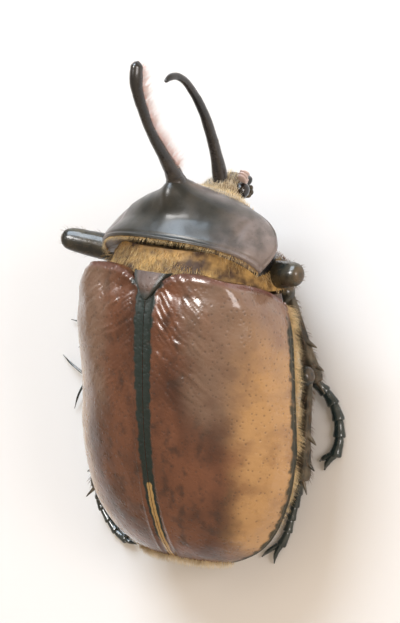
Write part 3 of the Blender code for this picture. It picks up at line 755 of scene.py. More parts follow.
@dataclass(frozen=True)
class FloorFinish:
    """A plain pale floor."""

    name: str = "pale floor"
    colour: Colour = (0.81, 0.80, 0.795)

    def build(self) -> bpy.types.Material:
        """The material."""
        sheet = NodeSheet(self.name)
        colour = sheet.mix(sheet.grain(40.0, 2.0), self.colour, tuple(0.985 * part for part in self.colour))
        return sheet.finish(colour, sheet.fit(sheet.grain(60.0), 0.3, 0.7, 0.6, 0.7), 0.0, 0.1, 0.25)


class Finishes:
    """All the materials, made once."""

    def __init__(self) -> None:
        """Builds each finish."""
        self.black = Chitin("black chitin", dark=(0.010, 0.010, 0.011), light=(0.022, 0.021, 0.021)).build()
        # The pronotum's pale colour is partly a dusty tone and partly painted reflection.
        self.pronotum = Chitin("pronotum chitin", dark=(0.008, 0.010, 0.008), light=(0.032, 0.029, 0.022),
                               roughness=(0.38, 0.50), pit_scale=3400.0, pit_width=0.4, pit_depth=0.012,
                               coat=0.45, edge=(0.30, 0.19, 0.10), coat_roughness=0.28,
                               pale=(0.20, 0.162, 0.150), patch_scale=480.0).build()
        self.horn = Chitin("horn chitin", dark=(0.010, 0.010, 0.011), light=(0.028, 0.024, 0.022),
                           roughness=(0.2, 0.34), pit_scale=4200.0, pit_width=0.35, pit_depth=0.008,
                           coat=0.6).build()
        self.leg = Chitin("leg chitin", dark=(0.010, 0.013, 0.012), light=(0.060, 0.050, 0.030),
                          roughness=(0.26, 0.42), pit_scale=2400.0, pit_width=0.4, pit_depth=0.02, coat=0.5,
                          patch_scale=620.0).build()
        self.shin = Chitin("shin chitin", dark=(0.022, 0.021, 0.017), light=(0.13, 0.108, 0.075),
                           roughness=(0.3, 0.46), pit_scale=2000.0, pit_width=0.45, pit_depth=0.025,
                           coat=0.4, patch_scale=520.0).build()
        self.tarsus = Chitin("tarsus chitin", dark=(0.010, 0.020, 0.021), light=(0.035, 0.045, 0.042),
                             roughness=(0.16, 0.28), pit_scale=5200.0, pit_width=0.3, pit_depth=0.006,
                             coat=0.8, patch_scale=700.0).build()
        self.belly = Chitin("belly chitin", dark=(0.035, 0.016, 0.009), light=(0.085, 0.036, 0.018),
                            roughness=(0.3, 0.5), pit_scale=2800.0, pit_width=0.45, pit_depth=0.02,
                            coat=0.3).build()
        self.collar = Chitin("collar skin", dark=(0.06, 0.028, 0.012), light=(0.58, 0.36, 0.12),
                             roughness=(0.55, 0.75), pit_scale=1500.0, pit_width=0.4, pit_depth=0.03,
                             coat=0.0, patch_scale=520.0).build()
        self.head = Chitin("head chitin", dark=(0.03, 0.024, 0.015), light=(0.26, 0.18, 0.09),
                           roughness=(0.3, 0.5), pit_scale=3200.0, pit_width=0.5, pit_depth=0.03,
                           coat=0.3).build()
        self.club = Chitin("feeler chitin", dark=(0.36, 0.25, 0.23), light=(0.62, 0.50, 0.46),
                           roughness=(0.4, 0.55), pit_scale=6000.0, pit_width=0.3, pit_depth=0.004,
                           coat=0.2).build()
        self.plate = Chitin("plate chitin", dark=(0.07, 0.045, 0.036), light=(0.14, 0.085, 0.065),
                            roughness=(0.42, 0.56), pit_scale=2600.0, pit_width=0.45, pit_depth=0.02,
                            coat=0.1, edge=(0.012, 0.035, 0.035)).build()
        self.wing_case = WingCaseFinish().build()
        self.eye = EyeFinish().build()
        self.yellow_hair = HairFinish("yellow hair", (0.50, 0.30, 0.09), (0.90, 0.70, 0.38)).build()
        self.pale_hair = HairFinish("pale hair", (0.66, 0.50, 0.28), (0.95, 0.86, 0.68)).build()
        self.pink_hair = HairFinish("pink hair", (0.80, 0.52, 0.46), (0.95, 0.84, 0.80)).build()
        self.brown_hair = HairFinish("brown bristle", (0.07, 0.03, 0.012), (0.26, 0.13, 0.05)).build()
        self.floor = FloorFinish().build()


def dress(piece: bpy.types.Object, material: bpy.types.Material, slot: Slot, *nodes: str) -> bpy.types.Object:
    """Gives a piece its material and body, and hides the nodes that it stands for.

    Args:
        piece: The object.
        material: Its material.
        slot: The record's slot; not used.
        nodes: The CAD nodes that it replaces.

    Returns:
        The piece.
    """
    piece.data.materials.clear()
    piece.data.materials.append(material)
    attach(piece, "root")
    if nodes:
        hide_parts(*nodes)
    LOG.info("%s: %d faces", piece.name, len(piece.data.polygons))
    return piece


# Hair.

class HairTree:
    """The Geometry Nodes tree that grows a coat of tapered, bent hairs on a skin."""

    SHORTEST = 0.55  # The shortest hair's share of the longest.

    def __init__(self) -> None:
        """Builds the tree with its named inputs."""
        self.tree = bpy.data.node_groups.new("hair coat", "GeometryNodeTree")
        self.sockets: dict[str, str] = {}
        for name, kind in (("Skin", "Geometry"), ("Density", "Float"), ("Length", "Float"),
                           ("Thickness", "Float"), ("Bend", "Float"), ("Spread", "Float"), ("Lean", "Vector"),
                           ("Seed", "Int"), ("Material", "Material")):
            socket = self.tree.interface.new_socket(name, in_out="INPUT", socket_type="NodeSocket" + kind)
            self.sockets[name] = socket.identifier
        self.tree.interface.new_socket("Coat", in_out="OUTPUT", socket_type="NodeSocketGeometry")
        self._grow()

    def _add(self, kind: str, settings: Settings | None = None, inputs: Inputs | None = None) -> bpy.types.Node:
        """Adds a node to the tree."""
        return add_node(self.tree, kind, settings, inputs)

    def _math(self, operation: str, first: bpy.types.NodeSocket,
              second: bpy.types.NodeSocket | float) -> bpy.types.NodeSocket:
        """The result of an operation on two numbers."""
        return self._add("ShaderNodeMath", {"operation": operation}, {0: first, 1: second}).outputs[0]

    def _strand(self, given: bpy.types.Node) -> bpy.types.NodeSocket:
        """One hair of length 1, bent towards +X.

        Args:
            given: The group's input node.

        Returns:
            The hair's mesh socket.
        """
        slimness = self._math("DIVIDE", given.outputs["Thickness"], given.outputs["Length"])
        cone = self._add("GeometryNodeMeshCone", {"fill_type": "NONE"},
                         {"Vertices": 3, "Side Segments": 3, "Radius Top": 0.0,
                          "Radius Bottom": slimness, "Depth": 1.0})
        position = self._add("GeometryNodeInputPosition")
        axes = self._add("ShaderNodeSeparateXYZ", {}, {0: position.outputs[0]})
        squared = self._math("MULTIPLY", axes.outputs["Z"], axes.outputs["Z"])
        bent = self._math("MULTIPLY", squared, given.outputs["Bend"])
        offset = self._add("ShaderNodeCombineXYZ", {}, {"X": bent})
        moved = self._add("GeometryNodeSetPosition", {},
                          {"Geometry": cone.outputs["Mesh"], "Offset": offset.outputs[0]})
        kept = self._add("GeometryNodeStoreNamedAttribute", {"data_type": "FLOAT", "domain": "POINT"},
                         {"Geometry": moved.outputs[0], "Name": "along", "Value": axes.outputs["Z"]})
        return kept.outputs[0]

    def _grow(self) -> None:
        """Places the hairs on the skin, leans them and makes them real."""
        given = self._add("NodeGroupInput")
        cover = self._add("GeometryNodeInputNamedAttribute", {"data_type": "FLOAT"}, {"Name": "cover"})
        density = self._math("MULTIPLY", cover.outputs["Attribute"], given.outputs["Density"])
        roots = self._add("GeometryNodeDistributePointsOnFaces", {"distribute_method": "RANDOM"},
                          {"Mesh": given.outputs["Skin"], "Density": density,
                           "Seed": given.outputs["Seed"]})
        low = self._math("MULTIPLY", given.outputs["Spread"], -1.0)
        low_vector = self._add("ShaderNodeCombineXYZ", {}, {k: low for k in range(3)})
        high_vector = self._add("ShaderNodeCombineXYZ", {}, {k: given.outputs["Spread"] for k in range(3)})
        jitter = self._add("FunctionNodeRandomValue", {"data_type": "FLOAT_VECTOR"},
                           {0: low_vector.outputs[0], 1: high_vector.outputs[0], "Seed": given.outputs["Seed"]})
        leaning = self._add("ShaderNodeVectorMath", {"operation": "ADD"},
                            {0: roots.outputs["Normal"], 1: given.outputs["Lean"]})
        aim = self._add("ShaderNodeVectorMath", {"operation": "ADD"},
                        {0: leaning.outputs[0], 1: jitter.outputs[0]})
        stand = self._add("FunctionNodeAlignRotationToVector", {"axis": "Z"}, {"Vector": aim.outputs[0]})
        turned = self._add("FunctionNodeAlignRotationToVector", {"axis": "X", "pivot_axis": "Z"},
                           {"Rotation": stand.outputs[0], "Vector": given.outputs["Lean"]})
        short = self._math("MULTIPLY", given.outputs["Length"], self.SHORTEST)
        size = self._add("FunctionNodeRandomValue", {"data_type": "FLOAT"},
                         {2: short, 3: given.outputs["Length"], "Seed": given.outputs["Seed"]})
        coat = self._add("GeometryNodeInstanceOnPoints", {},
                         {"Points": roots.outputs["Points"], "Instance": self._strand(given),
                          "Rotation": turned.outputs[0], "Scale": size.outputs[1]})
        real = self._add("GeometryNodeRealizeInstances", {}, {"Geometry": coat.outputs[0]})
        painted = self._add("GeometryNodeSetMaterial", {},
                            {"Geometry": real.outputs[0], "Material": given.outputs["Material"]})
        self._add("NodeGroupOutput", {}, {0: painted.outputs[0]})


@dataclass
class HairCoat:
    """One coat of hair on a patch of skin."""

    name: str
    density: float
    length: float
    thickness: float
    lean: Point
    bend: float = 0.35
    spread: float = 0.35
    seed: int = 1
    patch: float = 0.003
    unwrap_span: tuple[float, float] = (0.02, 0.98)

    def grow(self, tree: HairTree, grid: np.ndarray, cover: np.ndarray, place: Matrix,
             material: bpy.types.Material, slot: Slot = Slot.COLLAR, wrap: bool = True,
             inside: Point | None = None) -> bpy.types.Object:
        """Grows the coat.

        Args:
            tree: The Geometry Nodes tree.
            grid: The skin's points, in the frame's millimetres.
            cover: How thick the hair stands at each, from 0 to 1.
            place: The frame.
            material: The hair's material.
            slot: The record's slot.
            wrap: Whether the skin's columns close.
            inside: A point on the skin's inner side.

        Returns:
            The dressed coat.
        """
        rows, columns = grid.shape[:2]
        down, across = np.meshgrid(*(np.linspace(*self.unwrap_span, count) for count in (rows, columns)),
                                   indexing="ij")
        shape = Shape().add_grid(grid, wrap=wrap, inside=inside,
                                 fields={"cover": cover, "root_u": across, "root_v": down})
        skin = shape.make(self.name + "_skin", place)
        grower = skin.modifiers.new("hair", "NODES")
        grower.node_group = tree.tree
        lean = place.to_3x3() @ Vector(self.lean)
        values = {"Density": self.density / (MM * MM), "Length": self.length * MM,
                  "Thickness": self.thickness * MM, "Bend": self.bend, "Spread": self.spread, "Lean": lean[:],
                  "Seed": self.seed, "Material": material}
        for label, value in values.items():
            grower[tree.sockets[label]] = value
        bpy.context.view_layer.update()
        depsgraph = bpy.context.evaluated_depsgraph_get()
        mesh = bpy.data.meshes.new_from_object(skin.evaluated_get(depsgraph), depsgraph=depsgraph)
        mesh.name = self.name
        bpy.data.objects.remove(skin, do_unlink=True)
        self._unwrap(mesh)
        mesh.shade_smooth()
        coat = bpy.data.objects.new(self.name, mesh)
        bpy.context.scene.collection.objects.link(coat)
        return dress(coat, material, slot)

    def _unwrap(self, mesh: bpy.types.Mesh) -> None:
        """Lays each hair as a small patch at its root's place on the skin's unwrap.

        Args:
            mesh: The coat.
        """
        count = len(mesh.vertices)
        spots = np.zeros((2, count), np.float32)
        for k, label in enumerate(("root_u", "root_v")):
            mesh.attributes[label].data.foreach_get("value", spots[k])
        along = np.zeros(count, np.float32)
        mesh.attributes["along"].data.foreach_get("value", along)
        corners = np.zeros(len(mesh.loops), np.int32)
        mesh.loops.foreach_get("vertex_index", corners)
        spin = (np.arange(count) % 3) / 2.0
        u = spots[0] + self.patch * (spin - 0.5)
        v = spots[1] + self.patch * (along - 0.5)
        layer = mesh.uv_layers.new(name="OFBake")
        spread = np.stack([u[corners], v[corners]], axis=1).astype(np.float32)
        layer.uv.foreach_set("vector", spread.reshape(-1))
        for label in ("root_u", "root_v"):
            mesh.attributes.remove(mesh.attributes[label])


# The three frames.

@dataclass(frozen=True)
class Frames:
    """Where the body's three frames stand."""

    ground_x: float = -5.5
    ground_y: float = -4.35
    trunk_height: float = 10.8
    trunk_pitch: float = 10.0
    prothorax_back: float = -1.8
    prothorax_rise: float = 3.87
    prothorax_droop: float = 38.0

    @property
    def ground(self) -> Matrix:
        """The legs' frame, on the floor below the trunk's origin."""
        return Matrix.Translation((self.ground_x * MM, self.ground_y * MM, 0.0))

    @property
    def trunk(self) -> Matrix:
        """The frame of the wing cases and the abdomen."""
        pitch = Matrix.Rotation(math.radians(-self.trunk_pitch), 4, "X")
        return self.ground @ Matrix.Translation((0.0, 0.0, self.trunk_height * MM)) @ pitch

    @property
    def prothorax(self) -> Matrix:
        """The frame of the pronotum and the head."""
        droop = Matrix.Rotation(math.radians(self.prothorax_droop), 4, "X")
        neck = Matrix.Translation((0.0, self.prothorax_back * MM, self.prothorax_rise * MM))
        return self.trunk @ neck @ droop


# Sub-assemblies.

@dataclass
class Assembly:
    """What every sub-assembly is built with."""

    frames: Frames
    finishes: Finishes
    tree: HairTree


@dataclass
class WingCases(Assembly):
    """The two wing cases and the small plate between their roots."""

    length: float = 28.3
    half_width: float = 12.95
    height: float = 9.1
    thickness: float = 0.7
    squareness: float = 2.0
    shoulder_squareness: float = 2.4
    seam_gap: float = 0.06
    rows: int = 300
    columns: int = 190
    plate_length: float = 2.9
    plate_half_width: float = 2.2
    plate_forward: float = 1.9
    front: Stations = field(default_factory=lambda: [(0.0, 0.5), (0.08, -0.85), (0.18, -1.95), (0.34, -2.2),
                                                     (0.52, -1.7), (0.68, -1.3), (0.84, -0.6), (1.0, 0.6)])
    rounding: Stations = field(default_factory=lambda: [(0.0, 0.0), (0.3, 0.02), (0.45, 0.09), (0.6, 0.14),
                                                        (0.75, 0.13), (0.88, 0.06), (1.0, 0.02)])
    rounding_reach: float = 2.6
    seam_ridges: tuple[Ridge, ...] = (Ridge(0.05, 0.45, 0.35), Ridge(-0.06, 1.0, 0.2))
    border_ridges: tuple[Ridge, ...] = (Ridge(0.14, 0.25, 0.2), Ridge(-0.08, 0.7, 0.25))
    front_ridges: tuple[Ridge, ...] = (Ridge(0.08, 0.2, 0.16), Ridge(-0.07, 0.55, 0.2))
    wrinkle_depth: float = 0.19
    wrinkle_slant: float = 0.8
    shoulder_bump: float = 0.30
    shoulder_place: tuple[float, float] = (9.6, 2.4)
    shoulder_size: tuple[float, float] = (1.5, 1.6)

    def width_at(self, y: np.ndarray, inset: float = 0.0) -> np.ndarray:
        """Half the width over both wing cases.

        Args:
            y: How far behind their base.
            inset: How far inside their surface.

        Returns:
            The half widths.
        """
        s = np.clip(y / (self.length - inset), 0.0, 1.0)
        shoulder = 1.0 - 0.05 * np.maximum(0.0, 1.0 - s / 0.2) ** 2 - 0.11 * np.maximum(0.0, 1.0 - s / 0.55)
        tail = (1.0 - (np.maximum(0.0, s - 0.41) / 0.6) ** 2.75) ** (1 / 3.1)
        return (self.half_width - inset) * shoulder * tail

    def top_at(self, y: np.ndarray, inset: float = 0.0) -> np.ndarray:
        """Height of the ridge over the side edge.

        Args:
            y: How far behind their base.
            inset: How far inside their surface.

        Returns:
            The heights.
        """
        s = np.clip(y / (self.length - inset), 0.0, 1.0)
        base = 1.0 - 0.06 * np.maximum(0.0, 1.0 - s / 0.12) ** 2
        tail = (1.0 - (np.maximum(0.0, s - 0.05) / 0.985) ** 2.7) ** (1 / 1.9)
        return (self.height - inset) * base * tail

    def edge_at(self, y: np.ndarray) -> np.ndarray:
        """Height of the side edge."""
        return 0.6 - 1.0 * np.clip(y / self.length, 0.0, 1.0)

    def squareness_at(self, y: np.ndarray) -> np.ndarray:
        """How boxy a cross-section is."""
        s = np.clip(y / self.length, 0.0, 1.0)
        return self.squareness + self.shoulder_squareness * np.maximum(0.0, 1.0 - 2.0 * s) ** 2

    def surface(self, side: Side, rows: int, columns: int, start: float = 0.0,
                inset: float = 0.0) -> tuple[np.ndarray, np.ndarray, np.ndarray]:
        """A smooth grid over one wing case.

        Args:
            side: Which one.
            rows: Points along it.
            columns: Points from the seam outward.
            start: The share of its length where the grid starts.
            inset: How far inside the outer surface.

        Returns:
            The points, and for each its share of the length and of the way outward.
        """
        step = np.linspace(start, 1.0, rows)
        s, t = np.meshgrid(np.sin(0.5 * math.pi * step) ** 0.92, np.linspace(0, 1, columns), indexing="ij")
        y = blend(self.front, t) * (1.0 - s) ** 3 + s * self.length
        inner = np.maximum(y, 0.0)
        up, across = box_round(t * math.pi / 2, self.squareness_at(inner))
        middle = self.seam_gap / 2
        near = np.maximum(0.0, 1.0 - (y - blend(self.front, t)) / self.rounding_reach) ** 2.2
        x = middle + (self.width_at(inner, inset) - middle) * across * (1.0 - blend(self.rounding, t) * near)
        z = self.edge_at(inner) + self.top_at(inner, inset) * up
        return np.stack([side.value * x, y, z], axis=-1), s, t

    def build(self, side: Side) -> bpy.types.Object:
        """One wing case, with its wrinkles, beads and the seam's groove.

        Args:
            side: Which one.

        Returns:
            The dressed piece.
        """
        grid, s, t = self.surface(side, self.rows, self.columns)
        normal = normals_of(grid) * side.value
        from_seam = np.abs(grid[..., 0]) - self.seam_gap / 2
        arc = np.cumsum(np.linalg.norm(np.diff(grid, axis=1, prepend=grid[:, :1]), axis=-1), axis=1)
        from_border = arc[:, -1:] - arc
        from_front = s * self.length
        relief = self._wrinkles(grid, s, from_seam)
        relief += relief_of(self.seam_ridges, from_seam)
        relief += relief_of(self.border_ridges, from_border)
        relief += relief_of(self.front_ridges, from_front)
        calm = ramp(s, 1.0, 0.985)
        grid = grid + normal * (relief * calm)[..., None]
        stripe = ramp(from_seam, 1.5 - 0.8 * s, 0.8 - 0.5 * s) * ramp(s, 0.97, 0.88)
        beside_plate = 0.6 * ramp(from_front, 0.9, 0.4) * ramp(from_seam, 3.0, 2.2)
        fields = {
            "seam": np.maximum(stripe, beside_plate),
            "gap": ramp(from_seam, 0.42, 0.16) * ramp(s, 0.66, 0.72),
            "border": ramp(from_border, 1.5, 0.5) * ramp(s, 0.02, 0.1),
            "bead": ramp(from_front, 0.6, 0.25),
            # Where the painted sheen goes: the front outer part of each case.
            "painted_sheen": ramp(t, 0.14, 0.36) * ramp(s, 0.62, 0.3),
            # flank: where the tan goes, which is partly painted warm reflection.
            "flank": ramp(t, 0.36, 0.68) * ramp(s, -0.05, 0.42) * ramp(s, 1.0, 0.88) * ramp(t, 1.12, 0.9),
        }
        shape = Shape()
        inside = (side.value * 4.0, 14.0, 0.0)
        shape.add_grid(grid, inside=inside, fields=fields)
        lining, _, _ = self.surface(side, 60, 40, inset=self.thickness)
        shape.add_grid(lining[:, ::-1], inside=(side.value * 4.0, 14.0, 60.0))
        for k in (0, -1):
            shape.add_grid(self._wall(grid[k], lining[k]), inside=inside)
        for k in (0, -1):
            shape.add_grid(self._wall(grid[:, k], lining[:, k]), inside=inside)
        name = "elytron_" + side.name.lower()
        case = shape.make(name + "_case", self.frames.trunk)
        return dress(case, self.finishes.wing_case, Slot.MAHOGANY, name)

    def _wrinkles(self, grid: np.ndarray, s: np.ndarray, from_seam: np.ndarray) -> np.ndarray:
        """Slanting wrinkles, strongest near the front, over a soft unevenness.

        Args:
            grid: The smooth surface.
            s: The share of the length.
            from_seam: How far from the seam.

        Returns:
            Heights in millimetres.
        """
        slant = grid.copy()
        slant[..., 1] -= self.wrinkle_slant * np.abs(grid[..., 0]) + 0.45 * noise(grid, 0.6, 3)
        fold = 0.65 * noise(slant, (0.45, 1.9, 0.45), 5) + 0.35 * noise(slant, (0.8, 3.4, 0.8), 6)
        sharp = 0.5 - np.abs(fold) * 1.8
        broken = 0.3 + 0.7 * ramp(noise(grid, 0.6, 8), -0.4, 0.3)
        strength = (self.wrinkle_depth * ramp(s, 0.54, 0.12) * ramp(from_seam, 9.5, 5.0) + 0.014) * broken
        uneven = 0.05 * noise(grid, 0.3, 9) + 0.02 * noise(grid, 0.9, 11)
        across = (np.abs(grid[..., 0]) - self.shoulder_place[0]) / self.shoulder_size[0]
        along = (grid[..., 1] - self.shoulder_place[1]) / self.shoulder_size[1]
        shoulder = self.shoulder_bump * np.exp(-across ** 2 - along ** 2)
        return strength * sharp * ramp(from_seam, 1.1, 2.0) + uneven * ramp(from_seam, 0.8, 2.0) + shoulder

    @staticmethod
    def _wall(row: np.ndarray, inner: np.ndarray) -> np.ndarray:
        """The rim between an outer edge and an inner one.

        Args:
            row: The outer edge.
            inner: The inner edge, with fewer points.

        Returns:
            A grid of two rows.
        """
        places = np.linspace(0, len(inner) - 1, len(row))
        spread = np.stack([np.interp(places, np.arange(len(inner)), inner[:, k]) for k in range(3)], axis=-1)
        return np.stack([row, row * 0.5 + spread * 0.5, spread])

    def build_plate(self) -> bpy.types.Object:
        """The scutellum: a small rounded triangle, a little sunk at its front.

        Returns:
            The dressed piece.
        """
        top = self.height + 0.6
        s, u = np.meshgrid(np.linspace(0, 1, 44), np.linspace(-1, 1, 56), indexing="ij")
        half = self.plate_half_width * np.maximum(1.0 - s ** 1.35, 0.03)
        y = self.plate_length * s - self.plate_forward
        crown = blend([(0, -0.7), (0.4, -0.2), (0.75, -0.08), (1.0, -0.06)], s)
        drop = 0.75 * ramp(np.abs(u), 0.84, 1.0) + 0.75 * ramp(s, 0.94, 1.0)
        grain = 0.015 * noise(np.stack([u, s, s], -1), 6.0, 2)
        z = top + crown - 0.12 * u ** 2 - np.minimum(drop, 0.75) + grain
        grid = np.stack([half * u, y, z], axis=-1)
        rim = np.maximum(ramp(np.abs(u), 0.5, 0.8), ramp(s, 0.55, 0.85))
        shape = Shape().add_grid(grid, inside=(0, 0, 0), fields={"rim": rim})
        plate = shape.make("scutellum_plate", self.frames.trunk)
        return dress(plate, self.finishes.plate, Slot.BLACK, "scutellum")

    def build_hair(self) -> None:
        """The pale fringe round the tip of the wing cases."""
        for side in Side:
            grid, s, t = self.surface(side, 60, 60, start=0.86)
            rear = ramp(s, 0.984, 0.996) * (0.4 + 0.6 * ramp(t, 0.8, 0.4))
            coat = HairCoat("apex_fringe_" + side.name.lower(), density=200.0, length=0.85, thickness=0.026,
                            lean=(0.0, 0.9, 0.1), bend=0.3, spread=0.4, seed=4)
            coat.grow(self.tree, grid, rear, self.frames.trunk, self.finishes.pale_hair, wrap=False,
                      inside=(side.value * 3, 14, 0))


@dataclass
class Belly(Assembly):
    """Metathorax, abdomen and pygidium under the wing cases, and the collar in front of them."""

    cases: WingCases
    depth: float = 4.5
    squareness: float = 1.75
    inset: float = 1.02
    collar_length: float = 3.6
    metathorax_end: float = 9.5
    abdomen_end: float = 25.6
    pygidium_end: float = 27.8
    gap: float = 0.32
    segments: int = 5

    def depth_at(self, y: np.ndarray) -> np.ndarray:
        """Depth of the underside below the wing cases' edge."""
        stations = [(-0.15, 0.75), (0.05, 1.0), (0.35, 1.0), (0.7, 0.8), (0.92, 0.5), (1.0, 0.3)]
        return self.depth * blend(stations, y / self.cases.length)

    def rings(self, y: np.ndarray, waist: np.ndarray | float = 1.0, sides: int = 144) -> np.ndarray:
        """Cross-sections of the trunk.

        Args:
            y: Where they stand.
            waist: A factor on their width and height.
            sides: Points to a ring.

        Returns:
            The rings as a grid.
        """
        y, turn = np.meshgrid(y, 2 * math.pi * np.arange(sides) / sides, indexing="ij")
        waist = np.broadcast_to(np.reshape(waist, (-1, 1)), y.shape)
        inner = np.maximum(y, 0.0)
        width = self.cases.width_at(inner, self.inset) * waist
        height = self.cases.top_at(inner, self.inset) * waist
        above = np.sin(turn) >= 0
        across, up = box_round(turn, np.where(above, self.cases.squareness_at(inner), self.squareness))
        rise = np.where(above, height, self.depth_at(y)) * up
        return np.stack([width * across, y, self.cases.edge_at(inner) + rise], axis=-1)

    def build(self) -> None:
        """The three parts, with the abdomen's plates set off by grooves."""
        front = self.rings(np.linspace(-0.2, self.metathorax_end, 60))
        keel = 0.25 * hump(front[..., 0], 0.0, 0.35) * (front[..., 2] < 0)
        front[..., 2] += keel + 0.05 * noise(front, 0.6, 21)
        self._make("metathorax", front)
        y = np.linspace(self.metathorax_end + self.gap, self.abdomen_end, 150)
        rear = self.rings(y)
        span = (self.abdomen_end - self.metathorax_end) / self.segments
        phase = ((rear[..., 1] - self.metathorax_end) / span) % 1.0
        below = ramp(rear[..., 2], 0.5, -0.6)
        step = 0.22 * phase ** 2 - 0.2 * hump(phase, 0.03, 0.04)
        rear[..., 2] -= (step - 0.12) * below
        rear[..., 2] += 0.03 * noise(rear, 0.8, 22)
        self._make("abdomen", rear)
        tail = self._tail()
        self._make("pygidium", tail + (0.03 * noise(tail, 1.2, 23))[..., None])

    def _tail(self) -> np.ndarray:
        """The pygidium's rings, narrowing to its end."""
        s = np.linspace(0, 1, 40)
        y = self.abdomen_end + self.gap + (self.pygidium_end - self.abdomen_end) * s
        return self.rings(y, 1.0 - 0.75 * s ** 3)

    def _make(self, name: str, grid: np.ndarray) -> None:
        """Makes one part of the trunk.

        Args:
            name: Its node.
            grid: Its rings.
        """
        shape = Shape().add_grid(grid, closed=True)
        dress(shape.make(name + "_skin", self.frames.trunk), self.finishes.belly, Slot.BELLY, name)

    def collar(self) -> np.ndarray:
        """The collar's rings, from the wing cases forward."""
        s, turn = np.meshgrid(np.linspace(0, 1, 50), 2 * math.pi * np.arange(160) / 160, indexing="ij")
        y = -0.52 - self.collar_length * s
        width, top = 9.9 - 1.4 * s, 8.5 - 1.2 * s
        rise = np.where(np.sin(turn) > 0, top, 3.6 - 3.0 * s)
        across, up = signed_power(np.cos(turn), 0.9), signed_power(np.sin(turn), 0.9)
        grid = np.stack([width * across, y, rise * up], axis=-1)
        return grid + (0.08 * noise(grid, 0.9, 31))[..., None] * np.array([0.5, 0.0, 1.0])

    def build_collar(self) -> None:
        """The collar between pronotum and wing cases, with its yellow hair."""
        grid = self.collar()
        shape = Shape().add_grid(grid, closed=True)
        dress(shape.make("mesothorax_skin", self.frames.trunk), self.finishes.collar, Slot.COLLAR, "mesothorax")
        cover = ramp(grid[..., 2], -2.0, 1.5) * ramp(noise(grid, (0.6, 0.9, 0.6), 33), -0.35, 0.45)
        coat = HairCoat("collar_hair", density=26.0, length=0.9, thickness=0.035,
                        lean=(0.0, 1.5, 0.1), bend=0.3, spread=0.7, seed=7)
        coat.grow(self.tree, grid, cover, self.frames.trunk, self.finishes.yellow_hair, inside=(0, -2, 3))

    def build_flank_hair(self) -> None:
        """Yellow hair along the flanks, just below the wing cases' edge, and short hair on the tail."""
        grid = self.rings(np.linspace(1.0, 25.0, 90))
        edge = self.cases.edge_at(grid[..., 1])
        strip = hump(grid[..., 2] - edge, -0.6, 0.7) * (grid[..., 2] < edge + 0.2)
        cover = strip * ramp(grid[..., 1], 25.0, 20.0) * ramp(noise(grid, (0.5, 0.8, 0.5), 34), -0.7, 0.1)
        coat = HairCoat("flank_hair", density=95.0, length=1.9, thickness=0.04,
                        lean=(0.0, 0.4, -0.3), bend=0.25, spread=0.3, seed=9)
        coat.grow(self.tree, grid, cover, self.frames.trunk, self.finishes.yellow_hair, inside=(0, 14, 2))
        tail = self._tail()
        tail_hair = HairCoat("tail_hair", density=40.0, length=0.7, thickness=0.03,
                             lean=(0.0, 0.9, -0.3), bend=0.4, spread=0.4, seed=10)
        tail_hair.grow(self.tree, tail, np.ones(tail.shape[:2]), self.frames.trunk, self.finishes.yellow_hair,
                       inside=(0, 20, 2))


@dataclass(frozen=True)
class Horn:
    """A horn that bows in the body's middle plane. Its knots are shares of its lean and rise."""

    root: float
    foot: float
    lean: float
    rise: float
    shares: tuple[tuple[float, float], ...]
    thickness: tuple[float, ...]
    ribs: tuple[tuple[float, int, float], ...]
    sides: int
    resolution: int
    end_radius: float
    seed: int
    radius: float = 0.62

    def path(self) -> tuple[np.ndarray, np.ndarray]:
        """The points along its middle line and the radius at each."""
        knots = [(0.0, -self.root - self.lean * forward, self.foot + self.rise * up)
                 for forward, up in self.shares]
        return bezier_path(knots, [self.radius * share for share in self.thickness], self.resolution)

    def rings(self) -> np.ndarray:
        """Its surface, with soft ribs along it and a rounded tip."""
        path, radius = self.path()
        rib = np.ones((1, self.sides))
        for height, count, phase in self.ribs:
            rib = rib + height * np.cos(count * ring_turns(self.sides) + phase)[None]
        rings = tube(path, radius * rounded_end(path, self.end_radius), 1.0, (1, 0, 0), self.sides, rib)
        return roughened(rings, path, 0.03, 1.4, self.seed)


